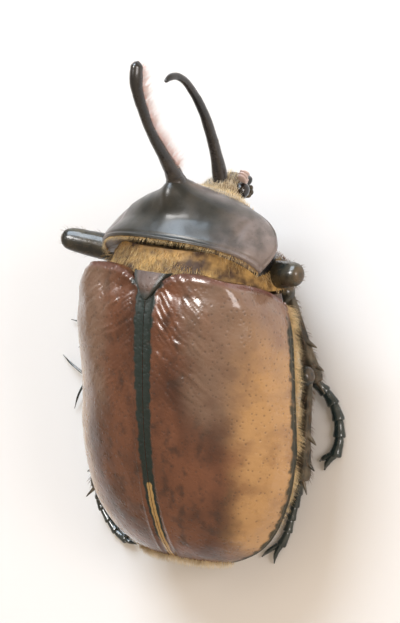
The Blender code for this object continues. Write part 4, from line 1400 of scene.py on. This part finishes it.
@dataclass
class Prothorax(Assembly):
    """The pronotum with its horn, and the prosternum below it."""

    length: float = 8.7
    half_width: float = 10.0
    rear_height: float = 5.4
    height: float = 6.4
    sternum_depth: float = 4.8
    corner_setback: float = 0.85
    rear_ridges: tuple[Ridge, ...] = (Ridge(0.10, 0.22, 0.15), Ridge(-0.10, 0.55, 0.16))
    side_ridges: tuple[Ridge, ...] = (Ridge(0.08, 0.3, 0.22), Ridge(-0.06, 0.8, 0.3))
    front_ridges: tuple[Ridge, ...] = (Ridge(0.12, 0.25, 0.2), Ridge(-0.08, 0.7, 0.25))
    horn: Horn = Horn(
        root=5.9, foot=6.3, lean=5.2, rise=13.5,
        shares=((-0.08, -0.12), (0.03, 0.0), (0.10, 0.07), (0.14, 0.16), (0.19, 0.31), (0.29, 0.55),
                (0.41, 0.69), (0.54, 0.82), (0.72, 0.92), (0.89, 0.97), (1.0, 0.995)),
        thickness=(2.3, 1.75, 1.4, 1.18, 0.94, 0.8, 0.84, 0.92, 1.07, 1.02, 0.75),
        ribs=((0.05, 2, 0.0), (0.02, 5, 1.0)), sides=48, resolution=10, end_radius=0.55, seed=51)

    def width_at(self, s: np.ndarray) -> np.ndarray:
        """Half width, from the rear edge at 0 to the front edge at 1."""
        return self.half_width * blend([(0, 0.94), (0.2, 1.0), (0.45, 0.99), (0.75, 0.78), (1.0, 0.3)], s)

    def height_at(self, s: np.ndarray) -> np.ndarray:
        """Height of the ridge over the side edge."""
        return blend([(0, self.rear_height), (0.3, 0.86 * self.height), (0.55, self.height),
                      (0.75, 0.77 * self.height), (1.0, 0.24 * self.height)], s)

    def surface(self, s: np.ndarray, turn: np.ndarray) -> np.ndarray:
        """Points of the pronotum's upper surface.

        Args:
            s: From the rear edge to the front edge.
            turn: From the left edge over the ridge, in radians.

        Returns:
            The points.
        """
        steep = 0.92 + 0.55 * np.sin(math.pi * np.minimum(s / 1.1, 1.0)) ** 2
        x = self.width_at(s) * signed_power(np.cos(turn), steep)
        z = self.height_at(s) * np.abs(np.sin(turn)) ** steep
        setback = self.corner_setback * (1 - s) ** 2 * (x / self.half_width) ** 2
        return np.stack([x, -s * self.length - setback, z], axis=-1)

    def build(self) -> None:
        """The pronotum and the prosternum."""
        s, turn = np.meshgrid(np.linspace(0, 1, 190), np.linspace(0, math.pi, 240), indexing="ij")
        top = self.surface(s, turn)
        normal = normals_of(top)
        normal *= np.sign(np.sum(normal * (top - np.array([0, -4, 0])), axis=-1).mean())
        from_rear = s * self.length
        side = np.minimum(turn, math.pi - turn) * self.half_width
        relief = 0.04 * noise(top, 0.4, 41) + 0.012 * noise(top, 1.3, 42)
        from_front = (1 - s) * self.length
        relief += relief_of(self.rear_ridges, from_rear) + relief_of(self.side_ridges, side)
        relief += relief_of(self.front_ridges, from_front) + self._creases(top)
        calm = ramp(s, 0.0, 0.012) * ramp(side, 0.0, 0.15)
        rim = ramp(from_front, 0.5, 0.15)
        foot = np.hypot(top[..., 0] / 1.6, (top[..., 1] + self.horn.root + 0.9) / 1.5)
        rim = np.maximum(rim, 0.55 * ramp(foot, 1.2, 0.5) * ramp(noise(top, 1.6, 44), -0.4, 0.5))
        top = top + normal * (relief * calm)[..., None]
        under = top[:, ::-8][:, 1:-1] * np.array([0.97, 1.0, 0.0])
        # Pale sides and front slope: partly a dusty tone, partly painted reflection of the bright room.
        pale = np.maximum(ramp(np.abs(top[..., 0]), 4.4, 8.4), 0.8 * ramp(s, 0.60, 0.80))
        grid = np.concatenate([top, under], axis=1)
        none = np.zeros(under.shape[:2])
        fields = {"rim": np.concatenate([rim, none], axis=1), "pale": np.concatenate([pale, none], axis=1)}
        shape = Shape().add_grid(grid, closed=True, fields=fields)
        shield = shape.make("pronotum_shield", self.frames.prothorax)
        dress(shield, self.finishes.pronotum, Slot.BLACK, "pronotum")
        s, turn = np.meshgrid(np.linspace(0, 1, 60), np.linspace(0, math.pi, 90), indexing="ij")
        x = (self.width_at(s) - 0.5) * signed_power(np.cos(turn), 0.9)
        depth = self.sternum_depth * (1.0 - 0.25 * s) * np.abs(np.sin(turn)) ** 0.9
        setback = self.corner_setback * (1 - s) ** 2 * (x / self.half_width) ** 2
        below = np.stack([x, -s * self.length - setback, -0.2 - depth], axis=-1)
        below[..., 2] += 0.05 * noise(below, 0.7, 43)
        lid = below[:, ::-8][:, 1:-1] * np.array([1.0, 1.0, 0.0]) + np.array([0, 0, -0.1])
        shape = Shape().add_grid(np.concatenate([below, lid], axis=1), closed=True)
        plate = shape.make("prosternum_plate", self.frames.prothorax)
        dress(plate, self.finishes.black, Slot.BLACK, "prosternum")

    def _creases(self, top: np.ndarray) -> np.ndarray:
        """The hollow beside the front slope on each flank, and the swelling at the horn's foot.

        Args:
            top: The smooth surface.

        Returns:
            Heights in millimetres.
        """
        across, along = np.abs(top[..., 0]), -top[..., 1]
        bow = 7.3 + 0.10 * (along - 3.6) ** 2
        reach = ramp(along, 1.0, 2.4) * ramp(along, 5.6, 4.2)
        groove = hump(across, bow, 0.35) * reach
        lip = hump(across, bow - 0.6, 0.4) * reach
        foot = np.hypot(across, (along - self.horn.root + 0.1) / 1.1)
        skirt = 0.55 * hump(foot, 0.0, 2.1) + 0.6 * hump(foot, 0.0, 1.15)
        ridge = 0.16 * hump(across, 0.0, 0.8) * ramp(along, 1.5, 4.5) * ramp(along, 6.5, 5.5)
        return 0.04 * lip - 0.10 * groove + skirt + ridge

    def build_horn(self) -> None:
        """The tall horn, and the pink fuzz on its front side."""
        grid = self.horn.rings()
        shape = Shape().add_grid(grid, closed=True)
        shaft = shape.make("thoracic_horn_shaft", self.frames.prothorax)
        dress(shaft, self.finishes.horn, Slot.BLACK, "thoracic_horn")
        path, _ = self.horn.path()
        outward = grid - path[:, None]
        outward /= np.linalg.norm(outward, axis=-1, keepdims=True)
        share = np.linspace(0, 1, len(path))[:, None]
        front = ramp(-outward[..., 1] - outward[..., 2] * 0.3, 0.1, 0.7)
        cover = front * ramp(share, 0.15, 0.35) * ramp(share, 1.0, 0.9)
        coat = HairCoat("horn_fuzz", density=60.0, length=1.6, thickness=0.022,
                        lean=(0.0, -0.35, 0.25), bend=0.12, spread=0.28, seed=12)
        coat.grow(self.tree, grid, cover, self.frames.prothorax, self.finishes.pink_hair,
                  inside=tuple(path.mean(axis=0)))

    def build_hair(self) -> None:
        """The fringes at the pronotum's front and rear edges."""
        s, turn = np.meshgrid(np.linspace(0.90, 1.0, 12), np.linspace(0, math.pi, 120), indexing="ij")
        front = self.surface(s, turn)
        coat = HairCoat("front_fringe", density=90.0, length=0.8, thickness=0.03,
                        lean=(0.0, -1.5, -0.2), bend=0.3, spread=0.3, seed=14)
        coat.grow(self.tree, front, ramp(s, 0.93, 0.97), self.frames.prothorax, self.finishes.yellow_hair,
                  wrap=False, inside=(0, -4, 0))
        s, turn = np.meshgrid(np.linspace(0.72, 0.95, 30), np.linspace(0.3, math.pi - 0.3, 80), indexing="ij")
        slope = self.surface(s, turn)
        coat = HairCoat("slope_fuzz", density=26.0, length=0.5, thickness=0.03,
                        lean=(0.0, -0.6, 0.3), bend=0.15, spread=0.3, seed=16)
        coat.grow(self.tree, slope, ramp(s, 0.80, 0.88), self.frames.prothorax, self.finishes.pale_hair,
                  wrap=False, inside=(0, -4, 0))
        s, turn = np.meshgrid(np.linspace(0.0, 0.02, 6), np.linspace(0, math.pi, 160), indexing="ij")
        rear = self.surface(s, turn) * np.array([0.97, 1.0, 0.97])
        coat = HairCoat("rear_fringe", density=130.0, length=0.9, thickness=0.03,
                        lean=(0.0, 1.8, -0.3), bend=0.3, spread=0.6, seed=15)
        coat.grow(self.tree, rear, np.ones(s.shape), self.frames.prothorax, self.finishes.yellow_hair,
                  wrap=False, inside=(0, -4, 0))


@dataclass
class Head(Assembly):
    """The small head with its horn, eyes, feelers, jaws and palps."""

    forward: float = 10.2
    half_length: float = 2.6
    half_width: float = 2.3
    half_height: float = 1.8
    drop: float = 0.6
    bow: float = 1.3
    eye_radius: float = 0.8
    horn: Horn = Horn(
        root=11.1, foot=0.9, lean=3.3, rise=13.9,
        shares=((-0.3, -0.09), (0.0, 0.0), (0.39, 0.165), (0.68, 0.33), (0.88, 0.48), (1.0, 0.69), (0.95, 0.85),
                (0.69, 0.957), (0.36, 1.0)),
        thickness=(1.35, 1.25, 0.98, 0.9, 0.8, 0.68, 0.62, 0.56, 0.33),
        ribs=((0.04, 2, 0.0),), sides=44, resolution=12, end_radius=0.3, seed=52)
    feeler_beads: int = 6
    club_leaves: int = 3
    leaf_spacing: float = 0.36
    leaf_turn: float = 9.0
    palp_joints: int = 4

    def skull(self) -> np.ndarray:
        """The head's surface, from its rear to the front of its shield."""
        s, turn = np.meshgrid(np.linspace(0, 1, 90), 2 * math.pi * np.arange(110) / 110, indexing="ij")
        width = self.half_width * blend([(0, 0.86), (0.3, 1.0), (0.6, 0.86), (0.85, 0.62), (1, 0.45)], s)
        height = self.half_height * blend([(0, 0.9), (0.4, 1.0), (0.8, 0.7), (1, 0.35)], s)
        y = -self.forward + self.half_length * (1 - 2 * s)
        middle = -self.drop - self.bow * s ** 1.5
        grid = np.stack([width * np.cos(turn), y, middle + height * np.sin(turn)], axis=-1)
        shield = hump(s, 0.93, 0.05) * (np.sin(turn) > 0)
        brow = hump(s, 0.62, 0.05) * (np.sin(turn) > 0)
        grid[..., 2] += 0.12 * shield - 0.12 * brow + 0.04 * noise(grid, 1.6, 61)
        return grid

    def build(self) -> None:
        """The skull, its hair, the eyes and the horn."""
        place = self.frames.prothorax
        grid = self.skull()
        skull = Shape().add_grid(grid, closed=True).make("head_skull", place)
        dress(skull, self.finishes.head, Slot.BLACK, "head")
        for side in Side:
            name = "eye_" + side.name.lower()
            centre = (side.value * (self.half_width - 0.4), -self.forward - 0.5, -self.drop - 0.6)
            shape = Shape().add_ball((self.eye_radius, self.eye_radius * 1.1, self.eye_radius), centre, rows=40,
                                     columns=48)
            dress(shape.make(name + "_globe", place), self.finishes.eye, Slot.EYE, name)
        cover = ramp(grid[..., 2], -1.4, 0.0)
        coat = HairCoat("head_hair", density=38.0, length=0.65, thickness=0.028,
                        lean=(0.0, -0.6, 0.2), bend=0.4, spread=0.4, seed=17)
        coat.grow(self.tree, grid, cover, place, self.finishes.pale_hair, inside=(0, -10.2, -1))
        self._build_horn()

    def _build_horn(self) -> None:
        """The long horn, which curves back over itself at its tip."""
        shape = Shape().add_grid(self.horn.rings(), closed=True)
        dress(shape.make("head_horn_shaft", self.frames.prothorax), self.finishes.horn, Slot.BLACK, "head_horn")

    def build_mouth(self) -> None:
        """Feelers with three-leaved clubs, jaws and palps."""
        for side in Side:
            self._build_feeler(side)
            self._build_jaw(side)
            self._build_palp(side)

    def _build_feeler(self, side: Side) -> None:
        """One feeler: a long first joint, small beads and the club's three leaves.

        Args:
            side: Which one; the right one is raised.
        """
        out = side.value
        raised = -out
        root = np.array([out * 1.5, -self.forward - 0.9, -self.drop - 0.4])
        bend = root + np.array([out * 0.8, -0.5, raised * 0.3])
        tip = bend + np.array([-out * 0.1, 0.0, raised * 0.6])
        shape = Shape()
        stalk = smooth_path([tuple(root), tuple((root + bend) / 2), tuple(bend)], 24)
        radius = blend([(0, 0.2), (0.3, 0.26), (0.8, 0.32), (1, 0.22)], np.linspace(0, 1, 25))
        shape.add_grid(tube(stalk, radius, sides=20), closed=True)
        for k in range(self.feeler_beads):
            centre = bend + (tip - bend) * (k + 0.3) / self.feeler_beads
            shape.add_ball((0.26, 0.26, 0.1), tuple(centre), rows=12, columns=18)
        for k in range(self.club_leaves):
            centre = tip + np.array([out * 0.15, (k - 1) * self.leaf_spacing, raised * 0.25])
            lean = Matrix.Rotation(math.radians((k - 1) * self.leaf_turn), 3, "X")
            shape.add_ball((0.5, 0.2, 0.6), tuple(centre), np.array(lean), rows=26, columns=32)
        name = "antenna_" + side.name.lower()
        dress(shape.make(name + "_club", self.frames.prothorax), self.finishes.club, Slot.RED_BROWN, name)

    def _build_jaw(self, side: Side) -> None:
        """One mandible, curved inward.

        Args:
            side: Which one.
        """
        out = side.value
        root = np.array([out * 0.9, -self.forward - 1.7, -self.drop - 1.4])
        knots = [tuple(root), tuple(root + np.array([out * 0.3, -0.7, -0.3])),
                 tuple(root + np.array([-out * 0.1, -1.3, -0.5]))]
        path = smooth_path(knots, 30)
        radius = blend([(0, 0.6), (0.5, 0.5), (0.9, 0.28), (1, 0.12)], np.linspace(0, 1, 31))
        shape = Shape().add_grid(tube(path, radius, 0.75, sides=24), closed=True)
        name = "mandible_" + side.name.lower()
        dress(shape.make(name + "_jaw", self.frames.prothorax), self.finishes.black, Slot.BLACK, name)

    def _build_palp(self, side: Side) -> None:
        """One palp of four joints.

        Args:
            side: Which one.
        """
        out = side.value
        root = np.array([out * 1.1, -self.forward - 0.4, -self.drop - 1.8])
        knots = [tuple(root), tuple(root + np.array([out * 0.5, -0.9, -0.7])),
                 tuple(root + np.array([out * 0.1, -1.9, -0.6]))]
        path = smooth_path(knots, 48)
        share = np.linspace(0, 1, 49)
        beads = 0.17 + 0.11 * np.abs(np.sin(self.palp_joints * math.pi * share)) ** 0.6
        beads = beads * ramp(share, 1.03, 0.93)
        shape = Shape().add_grid(tube(path, np.maximum(beads, 0.05), sides=18), closed=True)
        name = "palp_" + side.name.lower()
        dress(shape.make(name + "_feeler", self.frames.prothorax), self.finishes.head, Slot.RED_BROWN, name)


@dataclass(frozen=True)
class LegPlan:
    """Where one leg's joints stand in the ground frame, in millimetres, and how stout it is."""

    name: str
    coxa: Point
    knee: Point
    ankle: Point
    foot: list[Point]
    claws: list[Point]
    size: float = 1.0
    foot_size: float = 1.0
    claw_size: float = 1.0

    @property
    def outward(self) -> float:
        """1 on the left and -1 on the right."""
        return 1.0 if self.coxa[0] > 0 else -1.0

    @property
    def thick(self) -> float:
        """The leg's measure of thickness."""
        return 1.12 * self.size

    @property
    def shin(self) -> np.ndarray:
        """The direction from the knee to the ankle."""
        return unit(np.array(self.ankle) - np.array(self.knee))


@dataclass
class Leg(Assembly):
    """One leg, with its bristles."""

    plan: LegPlan
    tooth_length: float = 1.7
    tooth_radius: float = 0.4
    spur_length: float = 1.9
    spur_radius: float = 0.26
    bristle_length: float = 0.5
    bristle_radius: float = 0.08
    foot_steps: int = 200
    foot_joints: tuple[float, ...] = (0.0, 0.19, 0.37, 0.55, 0.73, 1.0)
    claw_radii: tuple[float, ...] = (0.3, 0.22, 0.07)

    def build(self) -> None:
        """The four parts of the leg, and its bristles."""
        place = self.frames.ground
        x, y, z = self.plan.coxa
        hip = Shape().add_ball((2.0, 1.25, 1.3), (x - self.plan.outward * 1.2, y, z),
                               rows=36, columns=44)
        name = "coxa_" + self.plan.name
        dress(hip.make(name + "_joint", place), self.finishes.leg, Slot.BLACK, name)
        self._build_femur(place)
        self._build_tibia(place)
        self._build_tarsus(place)

    def _build_femur(self, place: Matrix) -> None:
        """The thigh: broad in the middle, with a low keel along most of it.

        Args:
            place: The ground frame.
        """
        coxa, knee = np.array(self.plan.coxa), np.array(self.plan.knee)
        aim = unit(knee - coxa)
        knots = [tuple(coxa - aim * 0.6), tuple(coxa + (knee - coxa) * 0.4), tuple(coxa + (knee - coxa) * 0.8),
                 tuple(knee + aim * 0.5)]
        share = np.linspace(0, 1, 71)
        path = smooth_path(knots, 70)
        stations = [(0, 0.7), (0.25, 1.15), (0.6, 1.1), (0.88, 0.95), (0.97, 0.66), (1, 0.3)]
        radius = self.plan.thick * blend(stations, share)
        keel = 1.0 + 0.05 * hump(ring_turns(40), math.pi / 2, 0.35)[None] * ramp(share, 0.1, 0.3)[:, None]
        grid = roughened(tube(path, radius, 0.85, sides=40, profile=keel), path, 0.025, 1.1, 71)
        # A brown tip at the knee: partly the knee's own colour and partly painted glint.
        rim = 0.35 * ramp(share, 0.95, 0.99)[:, None] * np.ones((1, 40))
        shape = Shape().add_grid(grid, closed=True, fields={"rim": rim})
        name = "femur_" + self.plan.name
        dress(shape.make(name + "_thigh", place), self.finishes.leg, Slot.BLACK, name)
        if self.plan.name.startswith("front"):
            ruff = ramp(share, 0.18, 0.26) * ramp(share, 0.52, 0.4)
            tuft = HairCoat("femur_ruff_" + self.plan.name, density=34.0, length=0.8, thickness=0.035,
                            lean=tuple(aim * 0.7), bend=0.35, spread=0.5, seed=21)
            ruff = np.ones(grid.shape[:2]) * ruff[:, None]
            tuft.grow(self.tree, grid, ruff, place, self.finishes.yellow_hair, inside=tuple(path.mean(axis=0)))
        cover = 0.4 + 0.6 * ramp(grid[..., 2] - path[:, None, 2], 0.2, -0.5)
        cover = cover * ramp(share, 0.1, 0.2)[:, None]
        coat = HairCoat("femur_hair_" + self.plan.name, density=4.0, length=0.75, thickness=0.025,
                        lean=tuple(aim * 0.9), bend=0.35, spread=0.3, seed=19)
        coat.grow(self.tree, grid, cover, place, self.finishes.brown_hair, Slot.BLACK,
                  inside=tuple(path.mean(axis=0)))

    def _build_tibia(self, place: Matrix) -> None:
        """The shin, widening to the ankle, with its teeth and spurs.

        Args:
            place: The ground frame.
        """
        knee, ankle = np.array(self.plan.knee), np.array(self.plan.ankle)
        shin = self.plan.shin
        bow = np.array([self.plan.outward * 0.1, 0, 0.2])
        knots = [tuple(knee + shin * 0.2), tuple((knee + ankle) / 2 + bow), tuple(ankle)]
        share = np.linspace(0, 1, 81)
        path = smooth_path(knots, 80)
        stations = [(0, 0.45), (0.2, 0.58), (0.6, 0.68), (0.92, 0.92), (0.985, 0.82), (1, 0.6)]
        radius = self.plan.thick * blend(stations, share)
        ridges = 1.0 + 0.06 * np.cos(6 * ring_turns(36))[None] * ramp(share, 0.05, 0.2)[:, None]
        grid = roughened(tube(path, radius, 0.72, sides=36, profile=ridges), path, 0.03, 1.3, 72)
        shape = Shape().add_grid(grid, closed=True)
        out = np.array([self.plan.outward, 0.0, 0.0])
        out = unit(out - shin * shin.dot(out))
        places = (0.45, 0.7, 0.93) if self.plan.name.startswith("front") else (0.55, 0.8)
        for spot in places:
            root = knee + (ankle - knee) * spot + bow * (1 - (2 * spot - 1) ** 2)
            length = self.tooth_length * self.plan.size
            self._spike(shape, root, unit(out + shin * 0.5), length, self.tooth_radius, shin)
        for lean in (-0.5, 0.7):
            aim = shin + out * lean + np.array([0, 0, 0.35])
            self._spike(shape, ankle - shin * 0.4, unit(aim), self.spur_length, self.spur_radius, shin)
        name = "tibia_" + self.plan.name
        dress(shape.make(name + "_shin", place), self.finishes.shin, Slot.BLACK, name)
        cover = np.ones(grid.shape[:2]) * ramp(share, 0.06, 0.25)[:, None]
        coat = HairCoat("tibia_hair_" + self.plan.name, density=7.0, length=0.8, thickness=0.035,
                        lean=tuple(shin * 0.9), bend=0.25, spread=0.35, seed=20)
        coat.grow(self.tree, grid, cover, place, self.finishes.brown_hair, Slot.BLACK,
                  inside=tuple(path.mean(axis=0)))

    @staticmethod
    def _spike(shape: Shape, root: np.ndarray, aim: np.ndarray, length: float, radius: float,
               curl: np.ndarray) -> None:
        """Adds one tapered, slightly curved spine.

        Args:
            shape: The mesh in the making.
            root: Where it grows from.
            aim: Which way it points.
            length: Its length.
            radius: Its radius at the root.
            curl: Which way it bends.
        """
        share = np.linspace(0, 1, 13)[:, None]
        path = root + aim * length * share + curl * 0.12 * length * share ** 2
        taper = radius * (1.0 - share[:, 0]) ** 0.8 + 0.04
        shape.add_grid(tube(path, taper, sides=14, up=(0.1, 0.2, 1.0)), closed=True)

    def _build_tarsus(self, place: Matrix) -> None:
        """The foot: five joints that widen to their end, bristles below them, and two claws.

        Args:
            place: The ground frame.
        """
        start = np.array(self.plan.ankle) + self.plan.shin * 0.1
        path = smooth_path([tuple(start)] + self.plan.foot, self.foot_steps)
        shape = Shape()
        for first, last in zip(self.foot_joints, self.foot_joints[1:]):
            a, b = int(first * self.foot_steps), int(last * self.foot_steps)
            part = path[max(a - 3, 0):b + 1]
            share = np.linspace(0, 1, len(part))
            stations = [(0, 0.3), (0.15, 0.37), (0.55, 0.42), (0.85, 0.49), (0.96, 0.45), (1, 0.3)]
            grid = tube(part, self.plan.foot_size * blend(stations, share), 0.9, sides=22)
            shape.add_grid(self._on_floor(grid), closed=True)
            if last < 1.0:
                for lean in (-0.5, 0.0, 0.5):
                    along = unit(part[-1] - part[-6])
                    aim = along + np.cross(along, (0, 0, 1)) * lean - np.array([0, 0, 0.25])
                    self._spike(shape, part[-4], unit(aim), self.bristle_length, self.bristle_radius, along)
        for tip in self.plan.claws:
            tip = np.array(tip)
            foot = np.array(self.plan.foot[-1])
            back = foot - np.array(self.plan.foot[-2])
            base = foot - unit(back) * 0.35
            arch = base + (tip - base) * 0.55 + np.array([0, 0, 0.35])
            radii = [radius * self.plan.claw_size for radius in self.claw_radii]
            line, radius = bezier_path([tuple(base), tuple(arch), tuple(tip)], radii, 14)
            shape.add_grid(self._on_floor(tube(line, radius, sides=16)), closed=True)
        name = "tarsus_" + self.plan.name
        dress(shape.make(name + "_foot", place), self.finishes.tarsus, Slot.BLACK, name)

    @staticmethod
    def _on_floor(grid: np.ndarray) -> np.ndarray:
        """A grid with all that is below the floor set on it."""
        grid = grid.copy()
        grid[..., 2] = np.maximum(grid[..., 2], 0.0)
        return grid


LEGS = [
    LegPlan("front_left", coxa=(4.6, -1.6, 9.3), knee=(15.9, -2.6, 13.5), ankle=(11.0, -0.8, 2.0),
            foot=[(13.6, 2.0, 0.5), (17.0, 4.6, 0.35), (19.9, 6.4, 0.35)],
            claws=[(23.7, 6.0, 0.3), (22.1, 8.9, 0.3)], size=1.08, foot_size=0.9, claw_size=0.55),
    LegPlan("front_right", coxa=(-4.6, -1.6, 9.3), knee=(-12.5, -2.2, 12.7), ankle=(-2.2, -3.4, 2.1),
            foot=[(-2.5, -1.0, 0.55), (-3.4, 1.7, 0.35), (-4.5, 4.3, 0.35)],
            claws=[(-5.3, 6.1, 0.3), (-4.1, 6.4, 0.3)], size=1.08),
    LegPlan("mid_left", coxa=(3.9, 4.0, 5.0), knee=(10.6, -1.0, 6.6), ankle=(12.9, 7.2, 1.9),
            foot=[(15.1, 9.0, 0.5), (17.9, 10.8, 0.35), (20.5, 12.1, 0.35)],
            claws=[(24.1, 10.0, 0.3), (21.4, 15.6, 0.3)], foot_size=0.9, claw_size=0.55),
    LegPlan("mid_right", coxa=(-3.9, 4.0, 5.0), knee=(-7.9, -0.8, 6.9), ankle=(-9.8, 8.2, 2.0),
            foot=[(-11.0, 9.5, 0.8), (-12.2, 11.4, 0.45), (-12.7, 13.7, 0.35), (-12.5, 15.5, 0.35)],
            claws=[(-11.5, 17.0, 0.3), (-10.8, 16.2, 0.3)], foot_size=1.4, claw_size=1.4),
    LegPlan("hind_left", coxa=(3.9, 10.2, 3.9), knee=(13.8, 12.2, 5.2), ankle=(15.3, 23.4, 2.0),
            foot=[(15.7, 25.0, 0.8), (14.5, 26.6, 0.5), (13.1, 27.9, 0.35), (11.7, 28.5, 0.35)],
            claws=[(10.4, 28.7, 0.3), (10.7, 27.3, 0.3)]),
    LegPlan("hind_right", coxa=(-3.9, 10.2, 3.9), knee=(-10.9, 7.6, 5.2), ankle=(-9.9, 18.3, 1.9),
            foot=[(-8.9, 20.4, 0.6), (-8.5, 22.4, 0.4), (-8.2, 24.2, 0.35), (-7.7, 25.6, 0.35)],
            claws=[(-5.6, 27.1, 0.3), (-7.2, 27.5, 0.3)], foot_size=1.1, claw_size=1.1),
]


# Floor, light and camera.

@dataclass(frozen=True)
class Softbox:
    """A square light that faces the beetle. Its place and side are in metres and its power in watts."""

    name: str
    place: Point
    side: float
    power: float
    colour: Colour
    lights_matt: bool = True
    aim: Point = (0.0, 0.0, 0.01)

    def hang(self) -> None:
        """Makes the light."""
        light = bpy.data.lights.new(self.name, "AREA")
        light.shape = "SQUARE"
        light.size = self.side
        light.energy = self.power
        light.color = self.colour
        lamp = bpy.data.objects.new(self.name, light)
        lamp.location = self.place
        lamp.rotation_euler = (Vector(self.aim) - Vector(self.place)).to_track_quat("-Z", "Y").to_euler()
        lamp.visible_diffuse = self.lights_matt
        bpy.context.scene.collection.objects.link(lamp)


@dataclass
class Studio(Assembly):
    """The floor, the lights and the camera."""

    floor_size: float = 4.0
    tilt: float = 35.0
    swing: float = -8.5
    roll: float = 3.0
    pixels_per_mm: float = 9.83
    distance: float = 260.0
    image_height: float = 623.0
    off_right: float = 1.0
    off_up: float = 28.5
    sensor: float = 36.0
    near_clip: float = 0.005
    room_colour: tuple[float, float, float, float] = (1.0, 0.81, 0.61, 1.0)
    room_bright: float = 1.0
    room_dim: float = 0.42
    softboxes: tuple[Softbox, ...] = (
        Softbox("window", (0.12, -0.33, 0.25), 0.24, 2.4, (0.73, 0.86, 1.0)),
        Softbox("fill", (-0.33, -0.07, 0.21), 0.13, 0.6, (1.0, 0.95, 0.93)),
        Softbox("sheen", (0.11, -0.10, 0.37), 0.14, 1.9, (1.0, 0.98, 0.97), lights_matt=False))

    def build(self) -> None:
        """Sets up all three."""
        self._lay_floor()
        self._light()
        self._place_camera()

    def _lay_floor(self) -> None:
        """A wide pale floor at height 0."""
        half = self.floor_size / 2
        mesh = bpy.data.meshes.new("floor")
        square = [(-half, -half, 0), (half, -half, 0), (half, half, 0), (-half, half, 0)]
        mesh.from_pydata(square, [], [(0, 1, 2, 3)])
        floor = bpy.data.objects.new("floor", mesh)
        floor.data.materials.append(self.finishes.floor)
        bpy.context.scene.collection.objects.link(floor)

    def _light(self) -> None:
        """A warm room that is brighter on the camera's side, and the softboxes."""
        scene = bpy.context.scene
        world = bpy.data.worlds.new("studio")
        world.use_nodes = True
        tree = world.node_tree
        room = tree.nodes["Background"]
        room.inputs["Color"].default_value = self.room_colour
        place = tree.nodes.new("ShaderNodeTexCoord")
        axes = tree.nodes.new("ShaderNodeSeparateXYZ")
        fall = tree.nodes.new("ShaderNodeMapRange")
        tree.links.new(place.outputs["Generated"], axes.inputs[0])
        tree.links.new(axes.outputs["X"], fall.inputs["Value"])
        tree.links.new(fall.outputs["Result"], room.inputs["Strength"])
        limits = {"From Min": -1.0, "From Max": 1.0, "To Min": self.room_bright, "To Max": self.room_dim}
        for key, value in limits.items():
            fall.inputs[key].default_value = value
        scene.world = world
        scene.view_settings.view_transform = "Standard"
        for softbox in self.softboxes:
            softbox.hang()

    def _to_world(self, right: float, forward: float, up: float) -> Vector:
        """A direction given in the trunk's terms, in the world.

        Args:
            right: Towards the beetle's right.
            forward: Towards its head.
            up: Towards its back.

        Returns:
            The direction.
        """
        pitch = math.radians(self.frames.trunk_pitch)
        return Vector((-right, -(forward * math.cos(pitch) - up * math.sin(pitch)),
                       forward * math.sin(pitch) + up * math.cos(pitch)))

    def _place_camera(self) -> None:
        """The camera: above the beetle's right side, its picture's top towards the head."""
        tilt, swing, roll = (math.radians(angle) for angle in (self.tilt, self.swing, self.roll))
        back = self._to_world(math.sin(tilt) * math.cos(swing), -math.sin(swing),
                              math.cos(tilt) * math.cos(swing))
        level = self._to_world(math.cos(tilt), 0.0, -math.sin(tilt))
        rise = self._to_world(math.sin(tilt) * math.sin(swing), math.cos(swing),
                              math.cos(tilt) * math.sin(swing))
        right = level * math.cos(roll) + rise * math.sin(roll)
        up = rise * math.cos(roll) - level * math.sin(roll)
        ground = Vector((self.frames.ground_x, self.frames.ground_y, self.frames.trunk_height))
        target = ground - right * (self.off_right / self.pixels_per_mm)
        target -= up * (self.off_up / self.pixels_per_mm)
        pose = Matrix((right, up, back)).transposed().to_4x4()
        pose.translation = (target + back * self.distance) * MM
        data = bpy.data.cameras.new("camera")
        data.sensor_fit = "VERTICAL"
        data.sensor_height = self.sensor
        data.lens = self.pixels_per_mm * self.distance / self.image_height * self.sensor
        data.clip_start = self.near_clip
        camera = bpy.data.objects.new("camera", data)
        camera.matrix_world = pose
        bpy.context.scene.collection.objects.link(camera)
        bpy.context.scene.camera = camera


def corners(box: object) -> list[list[float]]:
    """A box's two corners as plain lists."""
    return [[float(value) for value in corner] for corner in box]


def main() -> None:
    """Builds the beetle over its CAD frame, then the floor, light and camera."""
    logging.basicConfig(level=logging.INFO, format="%(name)s: %(message)s")
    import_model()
    given = (Frames(), Finishes(), HairTree())
    cases = WingCases(*given)
    for side in Side:
        cases.build(side)
    cases.build_plate()
    cases.build_hair()
    belly = Belly(*given, cases)
    belly.build()
    belly.build_collar()
    belly.build_flank_hair()
    prothorax = Prothorax(*given)
    prothorax.build()
    prothorax.build_horn()
    prothorax.build_hair()
    head = Head(*given)
    head.build()
    head.build_mouth()
    for plan in LEGS:
        Leg(*given, plan).build()
    Studio(*given).build()


if __name__ == "__main__":
    main()
